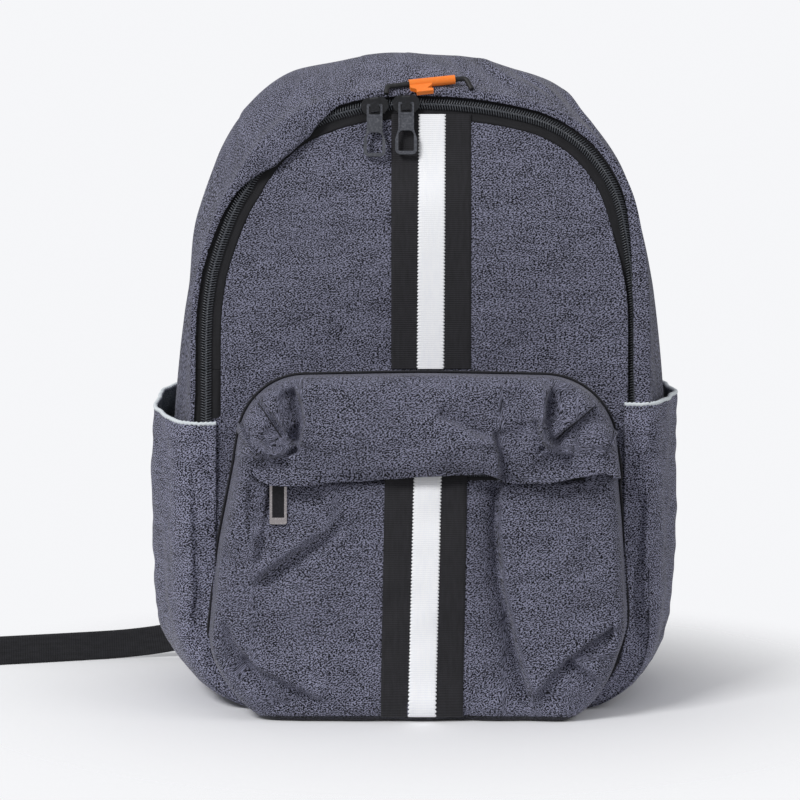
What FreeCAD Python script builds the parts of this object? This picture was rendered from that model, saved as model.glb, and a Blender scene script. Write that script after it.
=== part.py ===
"""Daypack with a fold-down zipped front, a hooded front pocket and two side pockets.

Millimetres, +Z up. The pack stands on its base: the origin is the middle of the base, on the
floor. The front, with its zips and pocket, faces -Y. The back panel and the straps face +Y.
"""
import FreeCAD, Part
import math
import os
import Sketcher
from FreeCAD import Matrix, Placement, Rotation, Vector

# ---------------------------------------------------------------- driving dimensions

SIZES = (
    # the bag's own form
    ("front_foot", 80, "how far the front stands out at the floor"),
    ("front_lean", 4, "degrees that the front leans back"),
    ("middle_depth", 5, "place of the fullest section"),
    ("back_face", 75, "place of the back panel's inner face"),
    ("wall", 2.5, "outer fabric, foam and lining together"),
    ("seam", 0.3, "space left between pieces that move or are only stitched"),
    ("zip_half_width", 134, "zip line: half of its width"),
    ("zip_top", 379, "zip line: its top, measured up the front"),
    ("zip_crown_radius", 280, "zip line: top arc"),
    ("zip_crown_angle", 14, "zip line: half angle of the top arc"),
    ("zip_leg_radius", 330, "zip line: slow arc above the straight legs"),
    ("zip_leg_angle", 12, "zip line: angle of that arc"),
    ("zip_foot_radius", 38, "zip line's own offset of the lower corner"),
    ("middle_half_width", 162, "fullest section: half of its width"),
    ("middle_top", 415, "fullest section: its top"),
    ("middle_crown_radius", 240, "fullest section: top arc"),
    ("middle_crown_angle", 17, "fullest section: half angle of the top arc"),
    ("middle_leg_radius", 560, "fullest section: slow arc of the side"),
    ("middle_leg_angle", 21, "fullest section: angle of that arc"),
    ("middle_foot_radius", 55, "fullest section: lower corner"),
    ("rear_half_width", 150, "rear section: half of its width"),
    ("rear_top", 402, "rear section: its top"),
    ("rear_crown_radius", 240, "rear section: top arc"),
    ("rear_crown_angle", 17, "rear section: half angle of the top arc"),
    ("rear_leg_radius", 560, "rear section: slow arc of the side"),
    ("rear_leg_angle", 17, "rear section: angle of that arc"),
    ("rear_foot_radius", 45, "rear section: lower corner"),
    ("base_half_width", 92, "half of the base panel, from seam to seam"),
    ("base_height", 20, "height that divides the base panel from the gusset"),
    # zips
    ("hinge_height", 212, "fold line of the front flap, up the front"),
    ("zip_below", 28, "lower ends of the main zip, below the fold"),
    ("coil_gap", 1.2, "open line between the two rows of coil"),
    ("coil_width", 3.6, "one row of coil"),
    ("coil_rise", 1.2, "coil above the fabric's face"),
    ("coil_sink", 1.0, "coil below the fabric's face"),
    ("tape_thickness", 0.7, "zip tape"),
    ("flap_tape", 5.0, "tape that shows beside the coil on the flap"),
    ("gusset_tape", 3.0, "tape that shows beside the coil on the gusset"),
    ("small_zip", 0.7, "pocket zip's size against the main zip's"),
    # sliders and pulls
    ("slider_length", 17, "slider, along the chain"),
    ("slider_width", 10.8, "slider, across the chain"),
    ("slider_plate", 1.8, "thickness of the slider's front plate"),
    ("slider_rear_plate", 1.6, "thickness of the slider's rear plate"),
    ("slider_corner", 5.0, "round ends of the slider's plate"),
    ("bridge_length", 9.6, "bridge that holds the pull, across the chain"),
    ("bridge_width", 5.2, "bridge, along the chain"),
    ("bridge_foot", 2.9, "each foot of the bridge, across the chain"),
    ("bridge_room", 2.6, "height under the bridge"),
    ("bridge_bar", 1.2, "thickness of the bridge above that room"),
    ("bridge_corner", 1.8, "round shoulders of the bridge"),
    ("divider", 0.7, "thin web that parts the two rows of coil"),
    ("pull_thickness", 1.6, "pull"),
    ("pull_rail", 1.4, "side rails and top bar of the pull's eye"),
    ("pull_neck", 9.8, "width of the pull at its eye"),
    ("pull_foot", 13.6, "width of the pull at its grip"),
    ("pull_eye", 5.8, "from the swing axis to the eye's lower end"),
    ("pull_neck_length", 16.4, "from the swing axis to the end of the neck"),
    ("pull_length", 32, "from the swing axis to the pull's end"),
    ("pull_window", 12.8, "length of the finger window"),
    ("pull_border", 2.2, "border under the window"),
    ("pull_recess", 0.4, "depth of the sunk panel on the neck"),
    ("slider_left", -28.4, "left slider at rest, across the front"),
    ("slider_right", -8.7, "right slider at rest, across the front"),
    ("slider_pocket", -86, "pocket slider at rest, across the front"),
    ("frame_pull_width", 10.4, "pocket pull's frame"),
    ("frame_pull_drop", 5.2, "from its swing axis to the frame"),
    ("frame_pull_length", 32, "from its swing axis to its end"),
    ("frame_pull_bar", 4.0, "heavy lower bar of the frame"),
    # stripes
    ("stripe_black", 50, "wide webbing of the stripe"),
    ("stripe_white", 16, "narrow webbing of the stripe"),
    ("stripe_thickness", 0.9, "wide webbing"),
    ("stripe_top_layer", 0.6, "narrow webbing"),
    ("flap_stripe_at", 7, "middle of the stripe on the flap"),
    ("pocket_stripe_at", 2, "middle of the stripe on the pocket"),
    # front pocket
    ("pocket_foot", 2, "lower edge of the front pocket"),
    ("pocket_below", 3.5, "upper edge of the front pocket, below the hood's"),
    ("pocket_half_foot", 126, "half of its width at the foot"),
    ("pocket_half_top", 110, "half of its width at the top"),
    ("pocket_depth", 42, "how far it stands out"),
    ("pocket_wall", 2, "its fabric and lining"),
    ("pocket_corner", 30, "its upper corners"),
    ("pocket_foot_corner", 40, "its lower corners"),
    ("pocket_edge", 10, "its rounded front edge"),
    ("pocket_zip_below", 56, "pocket zip, below the pocket's upper edge"),
    ("pocket_zip_half", 102, "half of the pocket zip's length"),
    ("hood_over", 6, "lower edge of the hood, below the pocket zip"),
    ("hood_below", 2.5, "upper edge of the hood, below the fold line"),
    ("hood_room", 1.5, "room between the pocket and the hood's sides"),
    ("hood_depth", 53, "how far the hood stands out"),
    ("hood_edge", 14, "rounded front edge of the hood"),
    # side pockets
    ("side_front", 128, "front seam of a side pocket, from the middle"),
    ("side_corner_at", 151, "where a side pocket turns round the pack's corner"),
    ("side_half_width", 172, "side pocket at its widest, from the middle"),
    ("side_wall", 1.8, "fabric of a side pocket"),
    ("side_rim_below", 24, "rim of a side pocket at mid depth, below the fold line"),
    ("side_front_bend", 20, "bend of a side pocket round the front corner"),
    ("side_fore_bend", 60, "slow bend of its side towards the front"),
    ("side_rear_bend", 90, "slow bend of its side towards the back"),
    ("side_inner", 80, "innermost reach of a side pocket under the base"),
    ("side_rim_slope", 10, "degrees that the rim rises towards the back"),
    ("side_foot_corner", 52, "lower corner of a side pocket"),
    ("side_foot", 2, "lower edge of a side pocket"),
    ("binding_depth", 2.2, "binding over the rim, down the fabric"),
    ("binding_thickness", 0.4, "binding tape"),
    # back, yoke, handle
    ("back_panel", 3, "thickness of the back panel"),
    ("pad_depth", 9, "back pads, their thickness"),
    ("pad_inner", 20, "back pads, inner edge from the middle"),
    ("pad_outer", 88, "back pads, outer edge from the middle"),
    ("pad_low", 110, "upright back pads, lower edge"),
    ("pad_high", 340, "upright back pads, upper edge"),
    ("lumbar_low", 40, "lower back pad, lower edge"),
    ("lumbar_high", 102, "lower back pad, upper edge"),
    ("pad_corner", 16, "corners of the back pads"),
    ("pad_edge", 4, "rounded edges of the back pads"),
    ("yoke_half_width", 96, "half of the yoke over the straps' tops"),
    ("yoke_low", 344, "yoke, lower edge"),
    ("yoke_high", 378, "yoke, upper edge"),
    ("yoke_thickness", 4, "yoke"),
    ("haul_half_width", 29, "half of the haul loop's span"),
    ("haul_reach", 34, "how far the haul loop stands out"),
    ("haul_webbing", 20, "width of the haul loop's webbing"),
    ("haul_thickness", 2.4, "its webbing, doubled"),
    ("haul_corner", 15, "its bends"),
    ("haul_low", 352, "its lower edge"),
    ("sleeve_half_width", 118, "half of the inner sleeve"),
    ("sleeve_top", 265, "upper edge of the inner sleeve"),
    ("sleeve_depth", 14, "room behind the inner sleeve and its own fabric"),
    ("sleeve_wall", 2, "fabric of the inner sleeve"),
    # shoulder straps
    ("strap_thickness", 10, "padded shoulder strap"),
    ("strap_half_width", 30, "half of its width at the top"),
    ("strap_tip_half", 13, "half of its width at the tip"),
    ("strap_root_at", 62, "strap's middle at its top"),
    ("strap_tip_at", 97, "strap's middle at its tip"),
    ("strap_top", 374, "top of a strap"),
    ("strap_tip", 140, "tip of a strap"),
    ("strap_bow", 42, "how far a strap bows out behind the yoke"),
    ("webbing_width", 20, "adjuster webbing"),
    ("webbing_thickness", 1.5, "adjuster webbing"),
    ("anchor_at", 133, "anchor tab's root, from the middle"),
    ("anchor_height", 30, "anchor tab's root, above the floor"),
    ("lock_from_anchor", 20, "from the tab's root to the ladder lock"),
    ("lock_length", 24, "ladder lock, along the webbing"),
    ("lock_width", 27, "ladder lock, across the webbing"),
    ("lock_thickness", 4.4, "ladder lock"),
    ("lock_bar", 3.4, "its bars, along the webbing"),
    ("lock_open", 3, "open pivot between the lock and the strap's webbing"),
    # attachment loop and hook
    ("loop_bar", 3.2, "diameter of the loop's bar"),
    ("loop_at", 4, "middle of the loop, across the front"),
    ("loop_behind", 1.5, "loop's place behind the gusset's front edge"),
    ("loop_climb", 9, "degrees that the bar climbs to the right"),
    ("loop_span", 50, "length of the bar"),
    ("loop_leg_left", 5, "reach of the loop's left leg"),
    ("loop_leg_right", 9, "reach of the loop's right leg"),
    ("hook_length", 29, "hook's sleeve, along the bar"),
    ("hook_start", -11, "left end of the sleeve, along the bar"),
    ("hook_skin", 1.0, "wall of the sleeve"),
    ("hook_thickness", 3.0, "leg and barb"),
    ("hook_leg", 7, "width of the leg"),
    ("hook_drop", 9.5, "from the bar to the barb's lower edge"),
    ("hook_barb", 2.8, "height of the barb"),
    ("hook_barb_length", 10.5, "from the leg's outer side to the barb's point"),
)

# Heights up the front that hang from the fold line, one below the other.
HEIGHTS = (
    ("zip_low", "=hinge_height-zip_below"),
    ("hood_top", "=hinge_height-hood_below"),
    ("pocket_top", "=hinge_height-hood_below-pocket_below"),
    ("pocket_zip_height", "=hinge_height-hood_below-pocket_below-pocket_zip_below"),
    ("hood_low", "=hinge_height-hood_below-pocket_below-pocket_zip_below-hood_over"),
    ("side_rim", "=hinge_height-side_rim_below"),
)

doc = FreeCAD.newDocument("daypack")
sheet = doc.addObject("Spreadsheet::Sheet", "Sizes")
for row, (alias, number, note) in enumerate(SIZES, start=1):
    sheet.set(f"A{row}", alias)
    sheet.set(f"B{row}", str(number))
    sheet.setAlias(f"B{row}", alias)
    sheet.set(f"C{row}", note)
for row, (alias, formula) in enumerate(HEIGHTS, start=len(SIZES) + 1):
    sheet.set(f"A{row}", alias)
    sheet.set(f"B{row}", formula)
    sheet.setAlias(f"B{row}", alias)
doc.recompute()

pieces = []


def size(alias):
    """The number in the named cell."""
    return float(sheet.get(alias))


def worked_out(text):
    """The value of an expression over the sheet, such as 'Sizes.wall*2'."""
    return float(sheet.evalExpression(text.replace("Sizes.", "")))


# ---------------------------------------------------------------- frames

# The front frame lies in the leaning front: x across, y up the front, z out of it.
FRONT = Placement(Vector(0, -size("front_foot"), 0),
                  Rotation(Vector(1, 0, 0), 90 - size("front_lean")))
HALF = size("coil_gap") / 2
COIL_EDGE = HALF + size("coil_width")
FLAP_EDGE = COIL_EDGE + size("flap_tape")
GUSSET_INSIDE = COIL_EDGE + size("gusset_tape")
GUSSET_EDGE = GUSSET_INSIDE + size("wall")
BACK = size("back_face") + size("back_panel")


def front_y(height):
    """World y of the front's face at a height above the floor."""
    return -size("front_foot") + height * math.tan(math.radians(size("front_lean")))


def along(foot, head):
    """A frame at foot whose y runs to head and whose z faces the back, +Y."""
    up = (head - foot).normalize()
    out = (Vector(0, 1, 0) - up * up.y).normalize()
    side = up.cross(out)
    return Placement(Matrix(side.x, up.x, out.x, foot.x,
                            side.y, up.y, out.y, foot.y,
                            side.z, up.z, out.z, foot.z,
                            0, 0, 0, 1))


# ---------------------------------------------------------------- PartDesign helpers

def new_body(label, place=Placement()):
    """An empty body that becomes one node."""
    part = doc.addObject("PartDesign::Body", label)
    part.Label = label
    part.Placement = place
    pieces.append(part)
    return part


def sketch_on(part, role, lift="0"):
    """A sketch on one of the body's own planes, lifted along the plane's normal."""
    sketch = part.newObject("Sketcher::SketchObject", f"{part.Name}_sketch")
    plane = next(item for item in part.Origin.OriginFeatures if item.Role == role)
    sketch.AttachmentSupport = [(plane, "")]
    sketch.MapMode = "FlatFace"
    sketch.setExpression("AttachmentOffset.Base.z", lift)
    return sketch


def polygon(sketch, corners):
    """A closed outline whose corners are pairs of expressions, each bound to the sheet."""
    spots = [Vector(worked_out(across), worked_out(up), 0) for across, up in corners]
    first = sketch.GeometryCount
    for number, spot in enumerate(spots):
        sketch.addGeometry(Part.LineSegment(spot, spots[(number + 1) % len(spots)]))
    for number, (across, up) in enumerate(corners):
        line = first + number
        after = first + (number + 1) % len(corners)
        sketch.addConstraint(Sketcher.Constraint("Coincident", line, 2, after, 1))
        for kind, text, value in (("DistanceX", across, spots[number].x),
                                  ("DistanceY", up, spots[number].y)):
            bound = sketch.addConstraint(Sketcher.Constraint(kind, -1, 1, line, 1, value))
            sketch.setExpression(f"Constraints[{bound}]", text)


def rectangle(low, high):
    """The corners of a rectangle, as pairs of expressions."""
    return [(low[0], low[1]), (high[0], low[1]), (high[0], high[1]), (low[0], high[1])]


def pad(part, sketch, length):
    """The sketch raised along its normal."""
    feature = part.newObject("PartDesign::Pad", f"{part.Name}_pad")
    feature.Profile = sketch
    feature.setExpression("Length", length)
    doc.recompute()
    return feature


def pocket(part, sketch, depth):
    """The sketch cut down against its normal. It must take material away."""
    before = part.Shape.Volume
    feature = part.newObject("PartDesign::Pocket", f"{part.Name}_pocket")
    feature.Profile = sketch
    feature.setExpression("Length", depth)
    doc.recompute()
    if not part.Shape.Volume < before:
        raise RuntimeError(f"{part.Label}: a pocket cuts nothing")
    return feature


def pad_block(part, low, high):
    """A block between two corners, given as expressions, joined to the body."""
    sketch = sketch_on(part, "XY_Plane", low[2])
    polygon(sketch, rectangle(low, high))
    return pad(part, sketch, f"({high[2]})-({low[2]})")


def fillet(part, choose, radius):
    """Rounds the body's edges that choose accepts."""
    tip = part.Tip
    names = [f"Edge{number}" for number, edge in enumerate(tip.Shape.Edges, start=1)
             if choose(edge)]
    if not names:
        raise RuntimeError(f"{part.Label}: a fillet finds no edge")
    feature = part.newObject("PartDesign::Fillet", f"{part.Name}_fillet")
    feature.Base = (tip, names)
    feature.setExpression("Radius", radius)
    doc.recompute()
    return feature


def upright_at(corners, axis="z"):
    """Accepts edges along an axis of the body's own frame that pass through given corners."""
    spots = [(worked_out(one), worked_out(other)) for one, other in corners]
    others = [name for name in "xyz" if name != axis]

    def choose(edge):
        span = edge.BoundBox
        reach = {"x": span.XLength, "y": span.YLength, "z": span.ZLength}
        middle = edge.CenterOfMass
        straight = all(reach[name] < 1e-3 for name in others)
        return straight and any(
            abs(getattr(middle, others[0]) - spot[0]) < 1e-2
            and abs(getattr(middle, others[1]) - spot[1]) < 1e-2 for spot in spots)
    return choose


def at_height(height, above=None):
    """Accepts edges that lie flat at a height of the body's own frame."""
    level = worked_out(height)
    floor = -1e9 if above is None else worked_out(above) + 1e-3

    def choose(edge):
        span = edge.BoundBox
        flat = abs(span.ZMin - level) < 1e-3 and abs(span.ZMax - level) < 1e-3
        return flat and span.YMax > floor
    return choose


def shell_out(part, faces, wall):
    """Leaves a wall inside the body's surface, open at the chosen faces."""
    tip = part.Tip
    names = [f"Face{number}" for number, face in enumerate(tip.Shape.Faces, start=1)
             if faces(face)]
    feature = part.newObject("PartDesign::Thickness", f"{part.Name}_shell")
    feature.Base = (tip, names)
    feature.setExpression("Value", wall)
    feature.Reversed = True
    doc.recompute()
    return feature


# ---------------------------------------------------------------- Part helpers

def block(name, low, high):
    """A Part::Box between two corners given as expressions."""
    item = doc.addObject("Part::Box", name)
    for side, start, end in zip(("Length", "Width", "Height"), low, high):
        item.setExpression(side, f"({end})-({start})")
    for axis, start in zip("xyz", low):
        item.setExpression(f"Placement.Base.{axis}", start)
    return item


def blocks(label, place, *corners):
    """Blocks of one node, kept apart where they don't touch."""
    items = [block(f"{label}_{number}", low, high)
             for number, (low, high) in enumerate(corners, start=1)]
    kind = "Part::MultiFuse" if len(items) > 1 else "Part::Compound"
    whole = doc.addObject(kind, label)
    if len(items) > 1:
        whole.Shapes = items
    else:
        whole.Links = items
    whole.Label = label
    whole.Placement = place
    pieces.append(whole)
    return whole


def feature(label, shape, place=Placement()):
    """A node whose shape is worked out here from the sheet's sizes."""
    item = doc.addObject("Part::Feature", label)
    item.Label = label
    item.Shape = shape
    item.Placement = place
    pieces.append(item)
    return item


def rounded(points, radii, closed=False):
    """A wire of straight runs joined by tangent arcs, one radius for each corner."""
    count = len(points)
    corners = range(count) if closed else range(1, count - 1)
    trimmed = {}
    for index in corners:
        here = points[index]
        back = (points[index - 1] - here).normalize()
        ahead = (points[(index + 1) % count] - here).normalize()
        turn = math.pi - back.getAngle(ahead)
        radius = radii[index if closed else index - 1]
        if radius <= 0 or turn < 1e-6:
            continue
        trim = radius * math.tan(turn / 2)
        inward = (back + ahead).normalize()
        middle = here + inward * (radius / math.cos(turn / 2) - radius)
        trimmed[index] = (here + back * trim, middle, here + ahead * trim)
    edges = []
    for index in range(count if closed else count - 1):
        after = (index + 1) % count
        start = trimmed[index][2] if index in trimmed else points[index]
        end = trimmed[after][0] if after in trimmed else points[after]
        if start.distanceToPoint(end) > 1e-6:
            edges.append(Part.LineSegment(start, end).toShape())
        if after in trimmed:
            edges.append(Part.Arc(*trimmed[after]).toShape())
    return Part.Wire(Part.__sortEdges__(edges))


def smooth(points, closed=False):
    """The largest tangent arcs that share the runs between corners fairly."""
    count = len(points)
    radii = []
    for index in range(count) if closed else range(1, count - 1):
        here, before, after = points[index], points[index - 1], points[(index + 1) % count]
        turn = (here - before).getAngle(after - here)
        run = min((here - before).Length, (after - here).Length)
        radii.append(0.45 * run / math.tan(turn / 2) if turn > 1e-6 else 0.0)
    return radii


def ribbon(points, width, thickness, first_side, settled):
    """A flat strap along runs and arcs. Prints its radii and its length.

    Its width starts along first_side and turns upright over the share of its length settled.
    """
    radii = smooth(points)
    path = rounded(points, radii)
    sections = []
    passed = 0.0
    for number, edge in enumerate(path.OrderedEdges):
        steps = 1 if passed > settled * path.Length else 4
        steps = steps if edge.Curve.TypeId == "Part::GeomLine" else 5
        shares = [step / steps for step in range(steps + 1)]
        first, last = edge.FirstParameter, edge.LastParameter
        if edge.Orientation == "Reversed":
            first, last = last, first
        for share in shares if number == 0 else shares[1:]:
            here = first + (last - first) * share
            spot = edge.valueAt(here)
            forward = edge.tangentAt(here)
            turned = min((passed + share * edge.Length) / (settled * path.Length), 1.0)
            turned = turned * turned * (3 - 2 * turned)
            lean = first_side * (1 - turned) + Vector(0, 0, turned)
            upright = (lean - forward * forward.dot(lean)).normalize() * (width / 2)
            aside = forward.cross(upright).normalize() * (thickness / 2)
            sections.append(Part.makePolygon([
                spot - upright - aside, spot + upright - aside,
                spot + upright + aside, spot - upright + aside, spot - upright - aside]))
        passed += edge.Length
    solid = Part.makeLoft(sections, True, True)
    print("  radii", [round(radius) for radius in radii], "length", round(path.Length, 1),
          "volume share", round(solid.Volume / (path.Length * width * thickness), 4))
    return solid


# ---------------------------------------------------------------- arches

def arch(station, grow):
    """One section's arch, pushed outward by grow with every centre kept.

    From the middle of the top: a crown arc, a tight shoulder arc, a slow leg arc that ends
    upright, a straight side and a foot arc, all tangent.
    """
    crown = size(f"{station}_crown_radius") + grow
    leg = size(f"{station}_leg_radius") + grow
    foot = size(f"{station}_foot_radius") + grow
    width = size(f"{station}_half_width") + grow
    tilt = math.radians(size(f"{station}_crown_angle"))
    lean = math.radians(size(f"{station}_leg_angle"))
    low = (GUSSET_EDGE if station == "zip" else 0.0) - grow
    crown_centre = (0.0, size(f"{station}_top") + grow - crown)
    shoulder = ((width - crown * math.sin(tilt) - leg * (1 - math.cos(lean)))
                / (math.cos(lean) - math.sin(tilt)))
    shoulder_centre = ((crown - shoulder) * math.sin(tilt),
                       crown_centre[1] + (crown - shoulder) * math.cos(tilt))
    leg_centre = (shoulder_centre[0] + (shoulder - leg) * math.cos(lean),
                  shoulder_centre[1] + (shoulder - leg) * math.sin(lean))
    quarter = math.pi / 2
    return {
        "width": width,
        "low": low,
        "foot": ((width - foot, low + foot), foot, -quarter, 0.0),
        "leg": (leg_centre, leg, 0.0, lean),
        "shoulder": (shoulder_centre, shoulder, lean, quarter - tilt),
        "crown": (crown_centre, crown, quarter - tilt, quarter + tilt),
    }


def arc_edge(arc, side, place):
    """One arc of an arch, on the right (+1) or the left (-1)."""
    (across, up), radius, start, end = arc
    spots = [place(side * (across + radius * math.cos(angle)), up + radius * math.sin(angle))
             for angle in (start, (start + end) / 2, end)]
    if side < 0:
        spots.reverse()
    return Part.Arc(*spots).toShape()


def line_edge(start, end, place):
    """A straight edge between two points of a section."""
    return Part.LineSegment(place(*start), place(*end)).toShape()


def open_arch(station, grow, low, place):
    """The arch above a height, from its right end over the top to its left end."""
    form = arch(station, grow)
    width = form["width"]
    top = form["leg"][0][1]
    return [line_edge((width, low), (width, top), place),
            arc_edge(form["leg"], 1, place),
            arc_edge(form["shoulder"], 1, place),
            arc_edge(form["crown"], 1, place),
            arc_edge(form["shoulder"], -1, place),
            arc_edge(form["leg"], -1, place),
            line_edge((-width, top), (-width, low), place)]


def closed_arch(station, grow, place):
    """The whole arch with its foot arcs and base line, as a wire."""
    form = arch(station, grow)
    (inside, above), radius = form["foot"][:2]
    edges = [line_edge((-inside, above - radius), (inside, above - radius), place),
             arc_edge(form["foot"], 1, place)]
    edges += open_arch(station, grow, above, place)
    edges.append(arc_edge(form["foot"], -1, place))
    return Part.Wire(edges)


def flat(across, up):
    """A point of the front frame's own plane."""
    return Vector(across, up, 0)


def zip_band(inner, outer, low, bottom, top):
    """The band between two offsets of the zip line, above a height of the front."""
    edges = open_arch("zip", outer, low, flat) + open_arch("zip", inner, low, flat)
    ends = [arch("zip", offset)["width"] for offset in (inner, outer)]
    edges += [line_edge((side * ends[0], low), (side * ends[1], low), flat)
              for side in (1, -1)]
    face = Part.Face(Part.Wire(Part.__sortEdges__(edges)))
    face.translate(Vector(0, 0, bottom))
    return face.extrude(Vector(0, 0, top - bottom))


# ---------------------------------------------------------------- the bag

def bag_solid(grow):
    """The bag as a full body through its three sections, pushed outward by grow."""
    sections = [
        closed_arch("zip", GUSSET_EDGE + grow,
                    lambda across, up: FRONT.multVec(Vector(across, up, 0))),
        closed_arch("middle", grow,
                    lambda across, up: Vector(across, size("middle_depth"), up)),
        closed_arch("rear", grow,
                    lambda across, up: Vector(across, size("back_face"), up)),
    ]
    return Part.makeLoft(sections, True, False)


def make_bag():
    """Gusset, base and back panel."""
    outside = bag_solid(0.0)
    wall = outside.cut(bag_solid(-size("wall")))
    reach = size("base_half_width")
    divider = Part.makeBox(2 * reach, 400, size("base_height"), Vector(-reach, -200, -1))
    feature("gusset", wall.cut(divider))
    reach = "Sizes.base_half_width"
    blocks("base_panel", Placement(), (
        (f"-{reach}", "-Sizes.front_foot+Sizes.wall*tan(Sizes.front_lean)", "0"),
        (reach, "Sizes.back_face", "Sizes.wall")))
    rear = Part.Face(closed_arch("rear", 0.0,
                                 lambda across, up: Vector(across, size("back_face"), up)))
    feature("back_panel", rear.extrude(Vector(0, size("back_panel"), 0)))
    return outside


def make_front():
    """The fixed lower front, the flap and the stripe's upper part."""
    panel = new_body("front_panel", FRONT)
    sketch = sketch_on(panel, "XY_Plane", "-Sizes.wall")
    edge = "(Sizes.zip_half_width+Sizes.coil_gap/2+Sizes.coil_width+Sizes.gusset_tape)"
    notch = "(Sizes.zip_half_width-Sizes.coil_gap/2-Sizes.coil_width-Sizes.flap_tape)"
    top = "Sizes.hinge_height-Sizes.seam"
    low = "(Sizes.wall+Sizes.seam)"
    right = [(edge, low), (edge, "Sizes.zip_low"), (notch, "Sizes.zip_low"), (notch, top)]
    left = [(f"-{across}", up) for across, up in reversed(right)]
    polygon(sketch, right + left)
    pad(panel, sketch, "Sizes.wall")
    corner = arch("zip", GUSSET_INSIDE)["foot"][1]
    fillet(panel, upright_at([(edge, low), (f"-{edge}", low)]), str(corner))

    fold = size("hinge_height") + size("seam")
    width = arch("zip", -FLAP_EDGE)["width"]
    edges = open_arch("zip", -FLAP_EDGE, fold, flat)
    edges.append(line_edge((-width, fold), (width, fold), flat))
    flap = Part.Face(Part.Wire(edges)).extrude(Vector(0, 0, -size("wall")))
    feature("front_flap", flap, FRONT)

    for label, width_cell, low_level, high_level in (
            ("stripe_upper_black", "stripe_black", "0", "Sizes.stripe_thickness"),
            ("stripe_upper_white", "stripe_white", "Sizes.stripe_thickness",
             "Sizes.stripe_thickness+Sizes.stripe_top_layer")):
        stripe = new_body(label, FRONT)
        sketch = sketch_on(stripe, "XY_Plane", low_level)
        sides = [f"(Sizes.flap_stripe_at{sign}Sizes.{width_cell}/2)" for sign in "-+"]
        inset = "(Sizes.zip_crown_radius-Sizes.coil_gap/2-Sizes.coil_width-Sizes.flap_tape)"
        tops = [f"Sizes.zip_top-Sizes.zip_crown_radius+sqrt({inset}*{inset}-{x}*{x})"
                for x in sides]
        bottom = "Sizes.hinge_height+3*Sizes.seam"
        polygon(sketch, [(sides[0], bottom), (sides[1], bottom),
                         (sides[1], tops[1]), (sides[0], tops[0])])
        pad(stripe, sketch, f"({high_level})-({low_level})")


def make_main_zip():
    """Tapes and coils of the main zip: one row stays with the bag, one goes with the flap."""
    fold = size("hinge_height") + size("seam")
    low = size("zip_low")
    coil = (-size("coil_sink"), size("coil_rise"))
    tape = (-size("coil_sink") - size("tape_thickness"), -size("coil_sink"))
    feature("zip_tape_gusset", zip_band(HALF, GUSSET_INSIDE, low, *tape), FRONT)
    feature("zip_coil_gusset", zip_band(HALF, COIL_EDGE, low, *coil), FRONT)
    feature("zip_tape_flap", zip_band(-FLAP_EDGE, -HALF, fold, *tape), FRONT)
    feature("zip_coil_flap", zip_band(-COIL_EDGE, -HALF, fold, *coil), FRONT)
    near = "Sizes.zip_half_width-Sizes.coil_gap/2"
    row = f"{near}-Sizes.coil_width"
    far = f"{row}-Sizes.flap_tape"
    heights = ("Sizes.zip_low", "Sizes.hinge_height-Sizes.seam")
    corners = []
    for mirrored in (False, True):
        for start, end, bottom, top in (
                (far, near, "-Sizes.coil_sink-Sizes.tape_thickness", "-Sizes.coil_sink"),
                (row, near, "-Sizes.coil_sink", "Sizes.coil_rise")):
            sides = (f"-({end})", f"-({start})") if mirrored else (start, end)
            corners.append(((sides[0], heights[0], bottom), (sides[1], heights[1], top)))
    blocks("zip_ends", FRONT, *corners)


# ---------------------------------------------------------------- sliders and pulls

def make_slider(label, place, scale):
    """A zip slider astride the two rows of coil, with the bridge that holds its pull.

    Its rear plate reaches only behind the near row, so that the far row can leave it.
    """
    def times(text):
        return f"{scale}*({text})"

    slider = new_body(label, place)
    half = "Sizes.slider_length/2"
    side = "Sizes.slider_width/2"
    low = "Sizes.coil_rise+Sizes.seam"
    top = f"{low}+Sizes.slider_plate"
    pad_block(slider, (times(f"-{half}"), times(f"-{side}"), times(low)),
              (times(half), times(side), times(top)))
    corners = [(times(f"{x}{half}"), times(f"{y}{side}")) for x in "-+" for y in "-+"]
    fillet(slider, upright_at(corners), times("Sizes.slider_corner"))

    web = "Sizes.divider/2"
    behind = "Sizes.coil_sink+Sizes.tape_thickness+3*Sizes.seam"
    pad_block(slider, (times("-Sizes.slider_length/4"), times(f"-{web}"), times(f"-({behind})")),
              (times("Sizes.slider_length*0.44"), times(web), times(f"{low}+Sizes.seam")))
    pad_block(slider, (times(f"-{half}+Sizes.seam"), times(f"-{side}"),
                       times(f"-({behind})-Sizes.slider_rear_plate")),
              (times(f"{half}-Sizes.seam"), times(web), times(f"-({behind})")))
    lip = "Sizes.coil_gap/2+Sizes.coil_width+Sizes.seam"
    for start, end in ((f"-{side}", f"-({lip})"), (lip, side)):
        pad_block(slider, (times("-Sizes.slider_length*0.35"), times(start),
                           times("-Sizes.coil_sink+Sizes.seam")),
                  (times("Sizes.slider_length*0.35"), times(end), times(f"{low}+Sizes.seam")))

    arm = "Sizes.bridge_length/2"
    inner = f"({arm}-Sizes.bridge_foot)"
    ceiling = f"{top}+Sizes.bridge_room"
    crown = f"{ceiling}+Sizes.bridge_bar"
    seat = f"{top}-Sizes.seam"
    sketch = sketch_on(slider, "YZ_Plane", times("-Sizes.bridge_width/2"))
    polygon(sketch, [(times(f"-{arm}"), times(seat)), (times(f"-{arm}"), times(crown)),
                     (times(arm), times(crown)), (times(arm), times(seat)),
                     (times(inner), times(seat)), (times(inner), times(ceiling)),
                     (times(f"-{inner}"), times(ceiling)), (times(f"-{inner}"), times(seat))])
    pad(slider, sketch, times("Sizes.bridge_width"))
    shoulders = [(times(f"-{arm}"), times(crown)), (times(arm), times(crown))]
    fillet(slider, upright_at(shoulders, "x"), times("Sizes.bridge_corner"))
    return slider


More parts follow.
